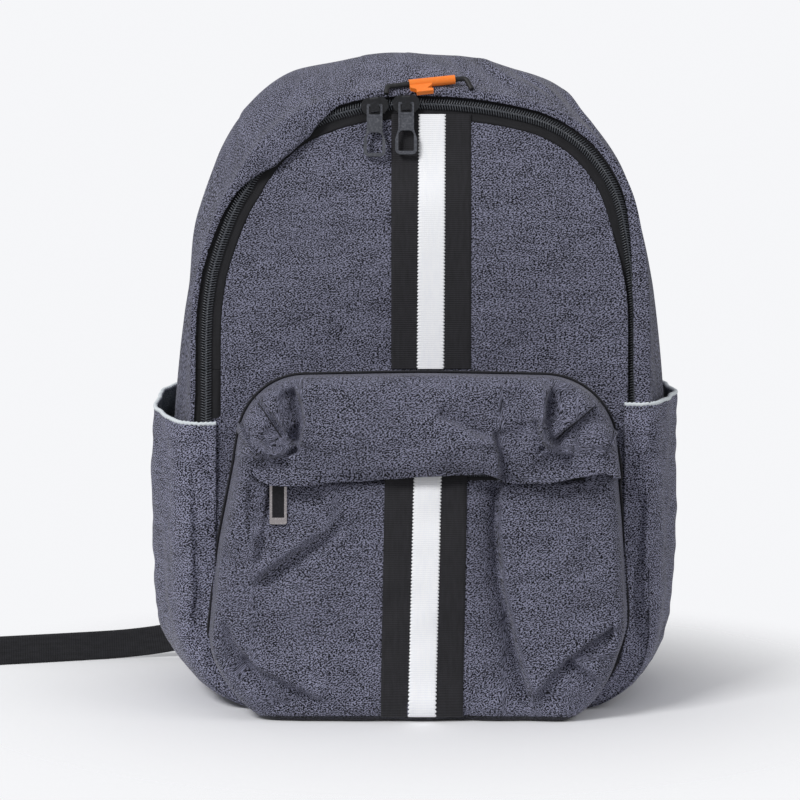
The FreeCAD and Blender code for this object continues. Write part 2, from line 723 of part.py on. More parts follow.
def make_grip_pull(label, place):
    """A flat pull with a sunk panel and a finger window, hung by its eye.

    Its frame's x is the swing axis: the middle of the bar that runs under the bridge.
    """
    pull = new_body(label, place)
    neck = "Sizes.pull_neck/2"
    foot = "Sizes.pull_foot/2"
    rail = "Sizes.pull_rail"
    head = f"{rail}/2"
    flare = "-Sizes.pull_neck_length-Sizes.pull_window*0.45"
    end = "-Sizes.pull_length"
    sketch = sketch_on(pull, "XY_Plane", "-Sizes.pull_thickness/2")
    outline = [(f"-{neck}", head), (neck, head), (neck, "-Sizes.pull_neck_length"),
               (foot, flare), (foot, end), (f"-{foot}", end),
               (f"-{foot}", flare), (f"-{neck}", "-Sizes.pull_neck_length")]
    inside = f"({neck}-{rail})"
    eye = rectangle((f"-{inside}", "-Sizes.pull_eye"), (inside, f"-{rail}/2"))
    low = f"({end}+Sizes.pull_border)"
    high = f"({low}+Sizes.pull_window)"
    wide = f"({foot}-1.4*{rail})"
    window = rectangle((f"-{wide}", low), (wide, high))
    for corners in (outline, eye, window):
        polygon(sketch, corners)
    pad(pull, sketch, "Sizes.pull_thickness")
    fillet(pull, upright_at(outline[4:6]), "2.4*Sizes.pull_rail")
    fillet(pull, upright_at(outline[2:4] + outline[6:]), "3*Sizes.pull_rail")
    fillet(pull, upright_at(window[2:]), f"0.6*{wide}")
    fillet(pull, upright_at(window[:2] + eye[:2] + outline[:2]), "0.5*Sizes.pull_rail")
    sketch = sketch_on(pull, "XY_Plane", "Sizes.pull_thickness/2")
    polygon(sketch, rectangle((f"-0.74*{neck}", f"{high}+{rail}"),
                              (f"0.74*{neck}", f"-Sizes.pull_eye-{rail}")))
    pocket(pull, sketch, "Sizes.pull_recess")
    return pull


def make_frame_pull(place):
    """The pocket's pull: a narrow eye over a rectangular metal frame, and its dark insert."""
    pull = new_body("pocket_pull", place)
    scale = "Sizes.small_zip"
    neck = f"({scale}*Sizes.pull_neck/2)"
    rail = f"({scale}*Sizes.pull_rail)"
    half = "Sizes.frame_pull_width/2"
    drop = "-Sizes.frame_pull_drop"
    end = "-Sizes.frame_pull_length"
    thick = f"({scale}*Sizes.pull_thickness)"
    sketch = sketch_on(pull, "XY_Plane", f"-{thick}/2")
    outline = [(f"-{neck}", f"{rail}/2"), (neck, f"{rail}/2"), (neck, drop), (half, drop),
               (half, end), (f"-{half}", end), (f"-{half}", drop), (f"-{neck}", drop)]
    eye = rectangle((f"-{neck}+{rail}", f"-{scale}*Sizes.pull_eye"),
                    (f"{neck}-{rail}", f"-{rail}/2"))
    opening = ((f"-{half}+1.6*{rail}", f"{end}+Sizes.frame_pull_bar"),
               (f"{half}-1.6*{rail}", f"{drop}-1.6*{rail}"))
    for corners in (outline, eye, rectangle(*opening)):
        polygon(sketch, corners)
    pad(pull, sketch, thick)
    fillet(pull, upright_at(outline[3:7]), f"1.2*{rail}")
    insert = new_body("pocket_pull_insert", place)
    sketch = sketch_on(insert, "XY_Plane", f"-0.3*{thick}")
    polygon(sketch, rectangle(*opening))
    pad(insert, sketch, f"0.6*{thick}")


def slider_place(across):
    """A slider's frame on the crown arc of the zip line: x along the chain, y away from it."""
    crown = arch("zip", 0.0)["crown"]
    angle = math.asin(across / crown[1])
    spot = Vector(across, crown[0][1] + crown[1] * math.cos(angle), 0)
    return Placement(spot, Rotation(Vector(0, 0, 1), -math.degrees(angle)))


def swing_height():
    """The swing axis above the fabric: the middle of the room under a bridge."""
    top = size("coil_rise") + size("seam") + size("slider_plate")
    return top + size("bridge_room") / 2


def make_sliders():
    """Two sliders with hanging pulls on the main zip."""
    height = swing_height()
    for side in ("left", "right"):
        spot = slider_place(size(f"slider_{side}"))
        make_slider(f"zip_slider_{side}", FRONT * spot, "1")
        hang = spot.Base + Vector(0, 0, height)
        make_grip_pull(f"zip_pull_{side}", FRONT * Placement(hang, Rotation()))
        swing = FRONT.multVec(hang)
        print(f"  {side} pull swings at {[round(value, 3) for value in swing]}")


# ---------------------------------------------------------------- front pocket

def pocket_side(height):
    """Half of the front pocket's width at a height, as an expression."""
    slope = ("(Sizes.pocket_half_foot-Sizes.pocket_half_top)"
             "/(Sizes.pocket_top-Sizes.pocket_foot)")
    return f"(Sizes.pocket_half_foot-{slope}*(({height})-Sizes.pocket_foot))"


def make_front_pocket():
    """The pocket's shell, its hood, its zip and the stripe's lower part."""
    shell = new_body("front_pocket", FRONT)
    sketch = sketch_on(shell, "XY_Plane")
    foot = [("-Sizes.pocket_half_foot", "Sizes.pocket_foot"),
            ("Sizes.pocket_half_foot", "Sizes.pocket_foot")]
    head = [("Sizes.pocket_half_top", "Sizes.pocket_top"),
            ("-Sizes.pocket_half_top", "Sizes.pocket_top")]
    polygon(sketch, foot + head)
    pad(shell, sketch, "Sizes.pocket_depth")
    fillet(shell, upright_at(foot), "Sizes.pocket_foot_corner")
    fillet(shell, upright_at(head), "Sizes.pocket_corner")
    fillet(shell, at_height("Sizes.pocket_depth"), "Sizes.pocket_edge")
    shell_out(shell, lambda face: face.BoundBox.ZMax < 1e-3, "Sizes.pocket_wall")
    reach = "Sizes.small_zip*(Sizes.coil_gap/2+Sizes.coil_width+Sizes.flap_tape)"
    sketch = sketch_on(shell, "XY_Plane", "Sizes.pocket_depth")
    polygon(sketch, rectangle(
        ("-Sizes.pocket_zip_half", f"Sizes.pocket_zip_height-{reach}"),
        ("Sizes.pocket_zip_half", f"Sizes.pocket_zip_height+{reach}")))
    pocket(shell, sketch, "Sizes.pocket_wall+Sizes.seam")

    hood = new_body("pocket_hood", FRONT)
    sketch = sketch_on(hood, "XY_Plane")
    apart = "Sizes.hood_room+Sizes.pocket_wall"
    low = f"({pocket_side('Sizes.hood_low')}+{apart})"
    high = f"({pocket_side('Sizes.hood_top')}+{apart})"
    foot = [(f"-{low}", "Sizes.hood_low"), (low, "Sizes.hood_low")]
    head = [(high, "Sizes.hood_top"), (f"-{high}", "Sizes.hood_top")]
    polygon(sketch, foot + head)
    pad(hood, sketch, "Sizes.hood_depth")
    fillet(hood, upright_at(head), "Sizes.pocket_corner")
    fillet(hood, at_height("Sizes.hood_depth", above="Sizes.hood_low"), "Sizes.hood_edge")
    edge = size("hood_low")
    shell_out(hood, lambda face: face.BoundBox.ZMax < 1e-3
              or face.BoundBox.YMax < edge + 1e-3, "Sizes.pocket_wall")

    small = "Sizes.small_zip"
    near = f"{small}*Sizes.coil_gap/2"
    row = f"{small}*(Sizes.coil_gap/2+Sizes.coil_width)"
    far = f"{small}*(Sizes.coil_gap/2+Sizes.coil_width+Sizes.flap_tape)"
    sunk = f"Sizes.pocket_depth-{small}*Sizes.coil_sink"
    levels = {"tape": (f"{sunk}-{small}*Sizes.tape_thickness", sunk),
              "coil": (sunk, f"Sizes.pocket_depth+{small}*Sizes.coil_rise")}
    for name, outer in (("tape", far), ("coil", row)):
        bottom, top = levels[name]
        corners = []
        for start, end in ((near, outer), (f"-{outer}", f"-{near}")):
            corners.append((
                ("-Sizes.pocket_zip_half", f"Sizes.pocket_zip_height+{start}", bottom),
                ("Sizes.pocket_zip_half", f"Sizes.pocket_zip_height+{end}", top)))
        blocks(f"pocket_zip_{name}", FRONT, *corners)

    spot = Vector(size("slider_pocket"), size("pocket_zip_height"), size("pocket_depth"))
    make_slider("pocket_slider", FRONT * Placement(spot, Rotation()), small)
    hang = spot + Vector(0, 0, size("small_zip") * swing_height())
    make_frame_pull(FRONT * Placement(hang, Rotation()))
    print(f"  pocket pull swings at {[round(value, 3) for value in FRONT.multVec(hang)]}")

    face = "Sizes.pocket_depth"
    over = f"{face}+Sizes.stripe_thickness"
    bottom = "Sizes.pocket_foot+Sizes.pocket_edge"
    top = f"Sizes.pocket_zip_height-{reach}-Sizes.seam"
    for label, cell, levels in (
            ("stripe_lower_black", "stripe_black", (face, over)),
            ("stripe_lower_white", "stripe_white", (over, f"{over}+Sizes.stripe_top_layer"))):
        sides = [f"Sizes.pocket_stripe_at{sign}Sizes.{cell}/2" for sign in "-+"]
        blocks(label, FRONT, ((sides[0], bottom, levels[0]), (sides[1], top, levels[1])))


# ---------------------------------------------------------------- side pockets

def side_outline(side, height, grow, past):
    """A side pocket's plan at a height: round the corner, along the side, to the rear seam.

    grow moves its curved side outward. past draws its straight side inward.
    """
    front = front_y(height) - size("seam") / 2 - size("side_wall") - grow
    wide = size("side_half_width") + grow
    rear_side = size("rear_half_width") + size("side_wall") + grow
    rear = size("back_face") + (2 * past if past else 0.0)
    inner = size("side_front") - past
    half_run = (size("back_face") + size("front_foot")) / 5
    corners = [(inner, front, 0.0),
               (size("side_corner_at") + grow, front, size("side_front_bend") + grow),
               (wide, -half_run, size("side_fore_bend") + grow),
               (wide, 0.8 * half_run, size("side_rear_bend") + grow),
               (rear_side, rear, 0.0), (inner, rear, 0.0)]
    points = [Vector(side * across, deep, height) for across, deep, _ in corners]
    return rounded(points, [radius for _, _, radius in corners], closed=True)


def side_solid(side, grow, past):
    """The body under a side pocket's cloth: the plan raised, cut to the corner of the foot."""
    top = size("side_rim") + size("back_face")
    plan = Part.makeLoft([side_outline(side, height, grow, past)
                          for height in (-size("side_foot"), top)], True, True)
    foot = size("side_foot") - grow
    wide = size("side_half_width") + grow
    inner = size("side_inner")
    low = [(inner, foot), (wide, foot), (wide, top), (inner, top)]
    points = [Vector(side * across, -200, up) for across, up in low]
    face = Part.Face(rounded(points, [0.0, size("side_foot_corner") + grow, 0.0, 0.0], True))
    return plan.common(face.extrude(Vector(0, 400, 0)))


def under_rim(offset):
    """Everything below the sloping rim plane, moved up by offset."""
    slab = Part.makeBox(600, 600, 600, Vector(-300, -300, -600 + offset))
    slope = Placement(Vector(0, 0, size("side_rim")),
                      Rotation(Vector(1, 0, 0), size("side_rim_slope")))
    slab.Placement = slope.multiply(slab.Placement)
    return slab


def make_side_pockets(bag):
    """Two side pockets, each with a binding over its rim."""
    wall = size("side_wall")
    tape = size("binding_thickness")
    for side, name in ((-1, "left"), (1, "right")):
        past = 4 * wall
        cloth = side_solid(side, 0.0, 0.0).cut(side_solid(side, -wall, past)).cut(bag)
        whole = cloth.common(under_rim(0.0))
        whole = max(whole.Solids, key=lambda solid: solid.Volume)
        feature(f"side_pocket_{name}", whole)
        band = side_solid(side, tape, 0.0).cut(side_solid(side, -wall - tape, past)).cut(bag)
        band = band.common(under_rim(tape)).cut(under_rim(-size("binding_depth")))
        band = band.cut(whole)
        band = max(band.Solids, key=lambda solid: solid.Volume)
        feature(f"rim_binding_{name}", band)


# ---------------------------------------------------------------- back

def make_back_pads():
    """Three foam pads on the back panel."""
    base = Placement(Vector(0, BACK, 0), Rotation(Vector(1, 0, 0), 90))
    for label, sides, low, high in (
            ("back_pad_left", ("-Sizes.pad_outer", "-Sizes.pad_inner"),
             "Sizes.pad_low", "Sizes.pad_high"),
            ("back_pad_right", ("Sizes.pad_inner", "Sizes.pad_outer"),
             "Sizes.pad_low", "Sizes.pad_high"),
            ("back_pad_lumbar", ("-Sizes.pad_outer", "Sizes.pad_outer"),
             "Sizes.lumbar_low", "Sizes.lumbar_high")):
        part = new_body(label, base)
        sketch = sketch_on(part, "XY_Plane", "-Sizes.pad_depth")
        corners = rectangle((sides[0], low), (sides[1], high))
        polygon(sketch, corners)
        pad(part, sketch, "Sizes.pad_depth")
        fillet(part, upright_at(corners), "Sizes.pad_corner")
        fillet(part, at_height("-Sizes.pad_depth"), "Sizes.pad_edge")


def make_yoke_and_handle():
    """The yoke that covers the straps' roots, and the haul loop sewn in over it."""
    base = Placement(Vector(0, BACK, 0), Rotation(Vector(1, 0, 0), 90))
    yoke = new_body("yoke", base)
    corners = rectangle(("-Sizes.yoke_half_width", "Sizes.yoke_low"),
                        ("Sizes.yoke_half_width", "Sizes.yoke_high"))
    sketch = sketch_on(yoke, "XY_Plane", "-Sizes.yoke_thickness")
    polygon(sketch, corners)
    pad(yoke, sketch, "Sizes.yoke_thickness")
    fillet(yoke, upright_at(corners), "Sizes.yoke_thickness*2")

    half = size("haul_half_width")
    start = BACK + size("yoke_thickness")
    reach = start + size("haul_reach")
    thick = size("haul_thickness")
    level = size("haul_low")
    bend = size("haul_corner")
    outer = [Vector(-half, start, level), Vector(-half, reach, level),
             Vector(half, reach, level), Vector(half, start, level)]
    inner = [Vector(half - thick, start, level), Vector(half - thick, reach - thick, level),
             Vector(thick - half, reach - thick, level), Vector(thick - half, start, level)]
    wire = rounded(outer + inner, [0, bend, bend, 0, 0, bend - thick, bend - thick, 0], True)
    loop = Part.Face(wire).extrude(Vector(0, 0, size("haul_webbing")))
    feature("haul_loop", loop)


def make_sleeve():
    """The sleeve inside, against the back panel and open at its top."""
    base = Placement(Vector(0, size("back_face"), 0), Rotation(Vector(1, 0, 0), 90))
    sleeve = new_body("laptop_sleeve", base)
    foot = "Sizes.wall+Sizes.seam"
    sketch = sketch_on(sleeve, "XY_Plane")
    half = "Sizes.sleeve_half_width"
    corners = rectangle((f"-{half}", foot), (half, "Sizes.sleeve_top"))
    polygon(sketch, corners)
    pad(sleeve, sketch, "Sizes.sleeve_depth")
    fillet(sleeve, upright_at(corners[:2]), "Sizes.rear_foot_radius/2")
    top = size("sleeve_top")
    shell_out(sleeve, lambda face: face.BoundBox.ZMax < 1e-3
              or face.BoundBox.YMin > top - 1e-3, "Sizes.sleeve_wall")


# ---------------------------------------------------------------- straps

def strap_pad(side):
    """A shoulder strap's padded part: its plan from behind, met by its bowed side profile."""
    top = size("strap_top")
    tip = size("strap_tip")
    drop = top - tip
    root, end = size("strap_root_at"), size("strap_tip_at")
    wide, narrow = size("strap_half_width"), size("strap_tip_half")
    shares = ((0.0, 0.0, 1.0), (0.24, 0.16, 1.0), (0.6, 0.62, 0.92), (0.9, 0.92, 0.6),
              (1.0, 1.0, narrow / wide))
    right = [(root + (end - root) * move + wide * share, top - drop * down)
             for down, move, share in shares]
    left = [(root + (end - root) * move - wide * share, top - drop * down)
            for down, move, share in reversed(shares)]
    points = [Vector(side * across, 0, up) for across, up in right + left]
    bends = smooth(points, True)
    for tip_corner in (len(right) - 1, len(right)):
        bends[tip_corner] = min(bends[tip_corner], size("webbing_thickness") * 2)
    plan = Part.Face(rounded(points, bends, True)).extrude(Vector(0, 400, 0))

    thick = size("strap_thickness")
    start = BACK + size("yoke_thickness") + size("seam")
    bow = size("strap_bow")
    outer = [(start, top), (start + 0.35 * bow, top), (start + 0.86 * bow, top - 0.24 * drop),
             (start + bow, top - 0.5 * drop), (start + 0.81 * bow, top - 0.78 * drop),
             (start + 0.4 * bow, tip)]
    inner = [(start + 0.4 * bow - 0.7 * thick, tip),
             (start + 0.81 * bow - thick, top - 0.77 * drop),
             (start + bow - thick, top - 0.5 * drop),
             (start + 0.86 * bow - thick, top - 0.27 * drop), (start, top - 1.4 * thick)]
    points = [Vector(0, deep, up) for deep, up in outer + inner]
    bends = smooth(points, True)
    for sharp in (0, len(outer) - 1, len(outer), len(points) - 1):
        bends[sharp] = 0.0
    profile = Part.Face(rounded(points, bends, True)).extrude(Vector(side * 200, 0, 0))
    return plan.common(profile)


def lower_frame(side):
    """The frame of a strap's lower end: from the anchor tab's root up to the pad's tip."""
    foot = Vector(side * size("anchor_at"), BACK + size("webbing_thickness") + size("seam"),
                  size("anchor_height"))
    bow = BACK + size("yoke_thickness") + size("seam") + 0.4 * size("strap_bow")
    head = Vector(side * size("strap_tip_at"), bow - 0.35 * size("strap_thickness"),
                  size("strap_tip") - size("seam"))
    place = along(foot, head)
    corner = size("webbing_width") / 2 * abs(place.Rotation.multVec(Vector(1, 0, 0)).z)
    return place, head.distanceToPoint(foot) - corner - size("seam")


def make_strap(side, name):
    """Padded strap and its webbing, the ladder lock, and the tab that ties the lock down."""
    feature(f"shoulder_strap_{name}", strap_pad(side))
    place, reach = lower_frame(side)
    half = "Sizes.webbing_width/2"
    thick = "Sizes.webbing_thickness"
    lock_low = "Sizes.lock_from_anchor"
    lock_high = f"{lock_low}+Sizes.lock_length"

    blocks(f"strap_webbing_{name}", place,
           ((f"-{half}", f"{lock_high}+Sizes.lock_open", f"-{thick}/2"),
            (half, str(reach), f"{thick}/2")))
    blocks(f"anchor_tab_{name}", place,
           ((f"-{half}", "0", f"-{thick}"),
            (half, f"{lock_low}-Sizes.seam", thick)))

    lock = new_body(f"ladder_lock_{name}", place)
    sketch = sketch_on(lock, "XY_Plane", "-Sizes.lock_thickness/2")
    side_x = "Sizes.lock_width/2"
    inside = f"({half}+Sizes.seam)"
    outline = rectangle((f"-{side_x}", lock_low), (side_x, lock_high))
    middle = f"({lock_low}+Sizes.lock_length/2)"
    slots = []
    for start, end in ((f"{lock_low}+Sizes.lock_bar", f"{middle}-Sizes.lock_bar/2"),
                       (f"{middle}+Sizes.lock_bar/2", f"{lock_high}-Sizes.lock_bar")):
        slots.append(rectangle((f"-{inside}", start), (inside, end)))
    for corners in [outline] + slots:
        polygon(sketch, corners)
    pad(lock, sketch, "Sizes.lock_thickness")
    fillet(lock, upright_at(outline), "Sizes.lock_bar")


def make_tails():
    """The loose ends of the adjuster webbing, which come over the locks' lower bars."""
    width = size("webbing_width")
    thick = size("webbing_thickness")
    rest = width / 2 + 0.4
    left = [Vector(-131, 91, 37), Vector(-150, 97, 19), Vector(-195, 95, rest),
            Vector(-252, 75, rest), Vector(-308, 57.5, rest)]
    right = [Vector(129.5, 92.5, 37.5), Vector(122, 106, 20), Vector(92, 130, rest),
             Vector(38, 146, rest), Vector(-18, 143, rest)]
    for side, name, points in ((-1, "left", left), (1, "right", right)):
        place = lower_frame(side)[0]
        start = place.multVec(Vector(
            0, size("lock_from_anchor") + size("lock_length") / 2,
            size("lock_thickness") / 2 + size("seam") + thick / 2))
        across = place.Rotation.multVec(Vector(-side, 0, 0))
        print(f"strap_tail_{name} from {[round(value, 2) for value in start]}")
        feature(f"strap_tail_{name}", ribbon([start] + points, width, thick, across, 0.42))


# ---------------------------------------------------------------- loop and hook

def on_bag(bag, across, deep):
    """Where a plumb line meets the top of the bag, and the surface's normal there."""
    def top(x, y):
        line = Part.LineSegment(Vector(x, y, 200), Vector(x, y, 900)).toShape()
        return Vector(x, y, max(vertex.Z for vertex in line.common(bag).Vertexes))
    here = top(across, deep)
    normal = (top(across + 0.5, deep) - here).cross(top(across, deep + 0.5) - here)
    return here, normal.normalize()


def loop_frame(bag):
    """The frame of the loop's bar: x along the bar, z away from the fabric."""
    edge = front_y((size("zip_top") + GUSSET_EDGE) * math.cos(math.radians(size("front_lean"))))
    spot, normal = on_bag(bag, size("loop_at"), edge + size("loop_behind"))
    lift = size("loop_bar") / 2 + 2 * size("seam") + size("hook_skin")
    slope = math.degrees(math.atan2(-normal.y, normal.z))
    turn = Rotation(Vector(1, 0, 0), slope) * Rotation(Vector(0, 0, 1), size("loop_climb"))
    return Placement(spot + normal * lift, turn), lift


def make_loop_and_hook(bag):
    """The small loop over the zip, and the moulded hook whose sleeve turns on its bar."""
    place, lift = loop_frame(bag)
    radius = size("loop_bar") / 2
    half = size("loop_span") / 2
    left, right = size("loop_leg_left"), size("loop_leg_right")
    points = [Vector(-half - left / 4, -left, radius - lift), Vector(-half, 0, 0),
              Vector(half, 0, 0), Vector(half + right / 4, -right, radius - lift)]
    path = rounded(points, [2 * radius, 2 * radius])
    section = Part.Wire(Part.makeCircle(radius, points[0], points[1] - points[0]))
    feature("attachment_loop", path.makePipeShell([section], True, False), place)

    hook = new_body("lock_hook", place)
    thick = "Sizes.hook_thickness/2"
    start = "(Sizes.hook_start+Sizes.hook_leg/2)"
    low = "-Sizes.hook_drop"
    sketch = sketch_on(hook, "XY_Plane", f"-{thick}")
    polygon(sketch, [("Sizes.hook_start", "0"), ("Sizes.hook_start", "-Sizes.hook_drop/2"),
                     (start, f"{low}+Sizes.hook_barb"), (start, low),
                     (f"{start}+Sizes.hook_barb_length", low),
                     (f"{start}+Sizes.hook_barb_length", f"{low}+Sizes.hook_barb*0.8"),
                     (f"{start}+Sizes.hook_leg", f"{low}+Sizes.hook_barb"),
                     (f"{start}+1.5*Sizes.hook_leg", "-Sizes.hook_drop/2.6"),
                     (f"{start}+1.5*Sizes.hook_leg", "0")])
    pad(hook, sketch, "Sizes.hook_thickness")
    bore = "Sizes.loop_bar/2+Sizes.seam"
    for kind, radius_text in (("AdditiveCylinder", f"{bore}+Sizes.hook_skin"),
                              ("SubtractiveCylinder", bore)):
        round_part = hook.newObject(f"PartDesign::{kind}", f"hook_{kind}")
        plane = next(item for item in hook.Origin.OriginFeatures if item.Role == "YZ_Plane")
        round_part.AttachmentSupport = [(plane, "")]
        round_part.MapMode = "FlatFace"
        round_part.setExpression("Radius", radius_text)
        round_part.setExpression("Height", "Sizes.hook_length")
        round_part.setExpression("AttachmentOffset.Base.z", "Sizes.hook_start")
        doc.recompute()
    print(f"  hook turns at {[round(value, 3) for value in place.Base]} about",
          [round(value, 4) for value in place.Rotation.multVec(Vector(1, 0, 0))])


# ---------------------------------------------------------------- build, check, write

def check_and_write():
    """Every object sound, then one STEP file for each piece."""
    doc.recompute()
    for item in doc.Objects:
        if any(word in item.State for word in ("Invalid", "Error")):
            raise RuntimeError(f"{item.Label} failed: {item.State}")
    os.makedirs("parts", exist_ok=True)
    for piece in pieces:
        shape = piece.Shape
        if shape.isNull() or not shape.isValid() or shape.Volume <= 0:
            raise RuntimeError(f"{piece.Label} has no sound shape")
        shape.exportStep(f"parts/{piece.Label}.step")
    print(f"{len(pieces)} pieces written")


whole_bag = make_bag()
make_side_pockets(whole_bag)
make_front()
make_main_zip()
make_sliders()
make_front_pocket()
make_back_pads()
make_yoke_and_handle()
make_sleeve()
for strap_side, strap_name in ((-1, "left"), (1, "right")):
    make_strap(strap_side, strap_name)
make_tails()
make_loop_and_hook(whole_bag)
check_and_write()
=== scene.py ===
# A daypack in heather cloth, built over its imported CAD frame.

# %% [markdown]
# The imported CAD model comes in first. It says where every body and joint is, so each
# visible piece below is measured from it and nothing has to be fitted by eye. Cloth may
# swell a little, but the finished pack must still fit its size.

# %% Load the frame
import bmesh
import bpy
import math
import numpy as np
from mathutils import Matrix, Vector


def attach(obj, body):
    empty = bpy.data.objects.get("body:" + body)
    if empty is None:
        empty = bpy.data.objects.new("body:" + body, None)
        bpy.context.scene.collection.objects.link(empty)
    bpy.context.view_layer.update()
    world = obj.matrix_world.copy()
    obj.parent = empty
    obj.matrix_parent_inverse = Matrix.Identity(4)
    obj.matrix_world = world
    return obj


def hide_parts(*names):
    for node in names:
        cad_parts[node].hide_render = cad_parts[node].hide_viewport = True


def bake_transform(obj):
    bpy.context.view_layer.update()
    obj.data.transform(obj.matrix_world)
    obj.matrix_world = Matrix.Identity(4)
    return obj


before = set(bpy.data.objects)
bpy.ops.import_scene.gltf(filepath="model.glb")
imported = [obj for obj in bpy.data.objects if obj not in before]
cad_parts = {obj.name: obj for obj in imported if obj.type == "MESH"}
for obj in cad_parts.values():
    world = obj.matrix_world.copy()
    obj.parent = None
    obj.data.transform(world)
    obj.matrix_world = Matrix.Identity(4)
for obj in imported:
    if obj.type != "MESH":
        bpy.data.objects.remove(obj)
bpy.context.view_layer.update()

MM = 0.001  # the script counts in millimetres, the scene in metres
SIDES = ((-1, "left"), (1, "right"))  # sign of X and name of each side


def put(name, data):
    """A new object in the scene that shows a mesh, a curve, a light or a camera."""
    made = bpy.data.objects.new(name, data)
    bpy.context.scene.collection.objects.link(made)
    return made


def settle(piece, body, slot, *nodes):
    """Says which body carries a piece and what solids it stands for; slot, what it is made
    of, is not used.
    """
    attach(piece, body)
    if nodes:
        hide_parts(*nodes)


# %% [markdown]
# The pack stands facing the camera. A long lens from a little above the middle keeps its
# upright lines nearly parallel, which is how a studio shows luggage.

# %% Camera
camera = put("camera", bpy.data.cameras.new("camera"))
camera.location = (-0.006, -1.4145, 0.2812)
camera.rotation_euler = (math.radians(90 - 3.743), 0, math.radians(0.276))
camera.data.sensor_width = 36
camera.data.lens = 97.03
bpy.context.scene.camera = camera
print("lens", camera.data.lens, "at", tuple(camera.location))

# %% [markdown]
# Almost everything here is a sheet: cloth, tape or webbing. One helper turns a grid of
# points into a mesh, with millimetres of cloth as its UV map, so that a weave keeps its
# real scale wherever the sheet bends. Solidify gives the sheet its thickness and lining.

# %% Sheets from grids
def sheet(name, points, finishes, cloth=None, around=False, flip=False, wall=0.0, lining=0,
          pick=None):
    """Mesh of a grid: cell (i, j) joins points i, i+1 and j, j+1. Its outward side is the
    cross product of the first direction with the second, or the other side with flip;
    around closes the rows. cloth gives each point's place on the flat cloth, wall the
    thickness, lining the number of the inside's finish, and pick each cell's finish."""
    rows, columns = points.shape[:2]
    index = np.arange(rows * columns).reshape(rows, columns)
    if around:
        index = np.concatenate([index, index[:1]])
    a, b, c, d = index[:-1, :-1], index[1:, :-1], index[1:, 1:], index[:-1, 1:]
    quads = np.stack([a, b, c, d], -1).reshape(-1, 4)
    if flip:
        quads = quads[:, ::-1]
    mesh = bpy.data.meshes.new(name)
    mesh.from_pydata((points.reshape(-1, 3) * MM).tolist(), [], quads.tolist())
    if cloth is not None:
        if around:
            cloth = np.concatenate([cloth, 2 * cloth[-1:] - cloth[-2:-1]])
            flat = np.arange(cloth.shape[0] * columns).reshape(-1, columns)
            corners = np.stack([flat[:-1, :-1], flat[1:, :-1], flat[1:, 1:], flat[:-1, 1:]],
                               -1).reshape(-1, 4)
        else:
            corners = np.stack([a, b, c, d], -1).reshape(-1, 4)
        if flip:
            corners = corners[:, ::-1]
        layer = mesh.uv_layers.new(name="cloth")
        layer.data.foreach_set("uv", cloth.reshape(-1, 2)[corners.ravel()].ravel())
    piece = put(name, mesh)
    for finish in finishes:
        mesh.materials.append(finish)
    if pick is not None:
        mesh.polygons.foreach_set("material_index", pick.reshape(-1).astype(np.int32))
    mesh.polygons.foreach_set("use_smooth", np.ones(len(quads), bool))
    if wall:
        thick = piece.modifiers.new("wall", "SOLIDIFY")
        thick.thickness, thick.offset = wall * MM, -1
        thick.material_offset, thick.material_offset_rim = lining, 0
    return piece


def weld(piece, limit, outward=False, caps=()):
    """Adds faces that cap open ends, each a run of point numbers, merges points closer than
    a limit in metres and, if asked, turns every face outwards."""
    shape = bmesh.new()
    shape.from_mesh(piece.data)
    shape.verts.ensure_lookup_table()
    for cap in caps:
        shape.faces.new([shape.verts[k] for k in cap])
    bmesh.ops.remove_doubles(shape, verts=shape.verts, dist=limit)
    if outward:
        bmesh.ops.recalc_face_normals(shape, faces=shape.faces)
    shape.to_mesh(piece.data)
    shape.free()


def close_ends(piece, rows, columns):
    """Caps the two open ends of a tube of points with one face each and merges its seam."""
    last = (rows - 1) * columns
    weld(piece, 1e-6, True, (range(columns - 1), range(last + columns - 2, last - 1, -1)))

# %% [markdown]
# Cloth is never flat. Its slack is a field of slow random waves, and a fold is a step
# across a drawn line that dies away on both sides. Both are height fields, so any number of
# them can be added up before the points are placed.

# %% Smooth steps and random waves
def ease(share):
    """0 below 0, 1 above 1, and a smooth S between."""
    share = np.clip(share, 0.0, 1.0)
    return share * share * (3 - 2 * share)


def waves(a, b, size, seed, count=9):
    """A smooth random field: a sum of sine waves of about one size, each in its own
    direction and phase, divided by the root of their count and by 1.2, so that it stays
    within about -1 to 1."""
    lot = np.random.RandomState(seed)
    total = np.zeros(np.broadcast(a, b).shape)
    for _ in range(count):
        turn, phase = lot.uniform(0, 2 * np.pi, 2)
        pace = 2 * np.pi / (size * lot.uniform(0.7, 1.6))
        total += np.sin((a * np.cos(turn) + b * np.sin(turn)) * pace + phase)
    return total / math.sqrt(count) / 1.2


def near_line(a, b, line):
    """Signed distance to a polyline, positive on its right, and the share along it."""
    line = np.asarray(line, float)
    runs = np.hypot(*(line[1:] - line[:-1]).T)
    marks = np.concatenate([[0], np.cumsum(runs)])
    best = np.full(np.broadcast(a, b).shape, 1e9)
    side, along = np.zeros_like(best), np.zeros_like(best)
    for start, end, run, mark in zip(line[:-1], line[1:], runs, marks):
        way = (end - start) / run
        t = np.clip((a - start[0]) * way[0] + (b - start[1]) * way[1], 0, run)
        off_a, off_b = a - start[0] - way[0] * t, b - start[1] - way[1] * t
        reach = np.hypot(off_a, off_b)
        turned = off_a * way[1] - off_b * way[0]
        closer = reach < best
        best = np.where(closer, reach, best)
        side = np.where(closer, np.sign(turned), side)
        along = np.where(closer, (mark + t) / marks[-1], along)
    return best * side, along


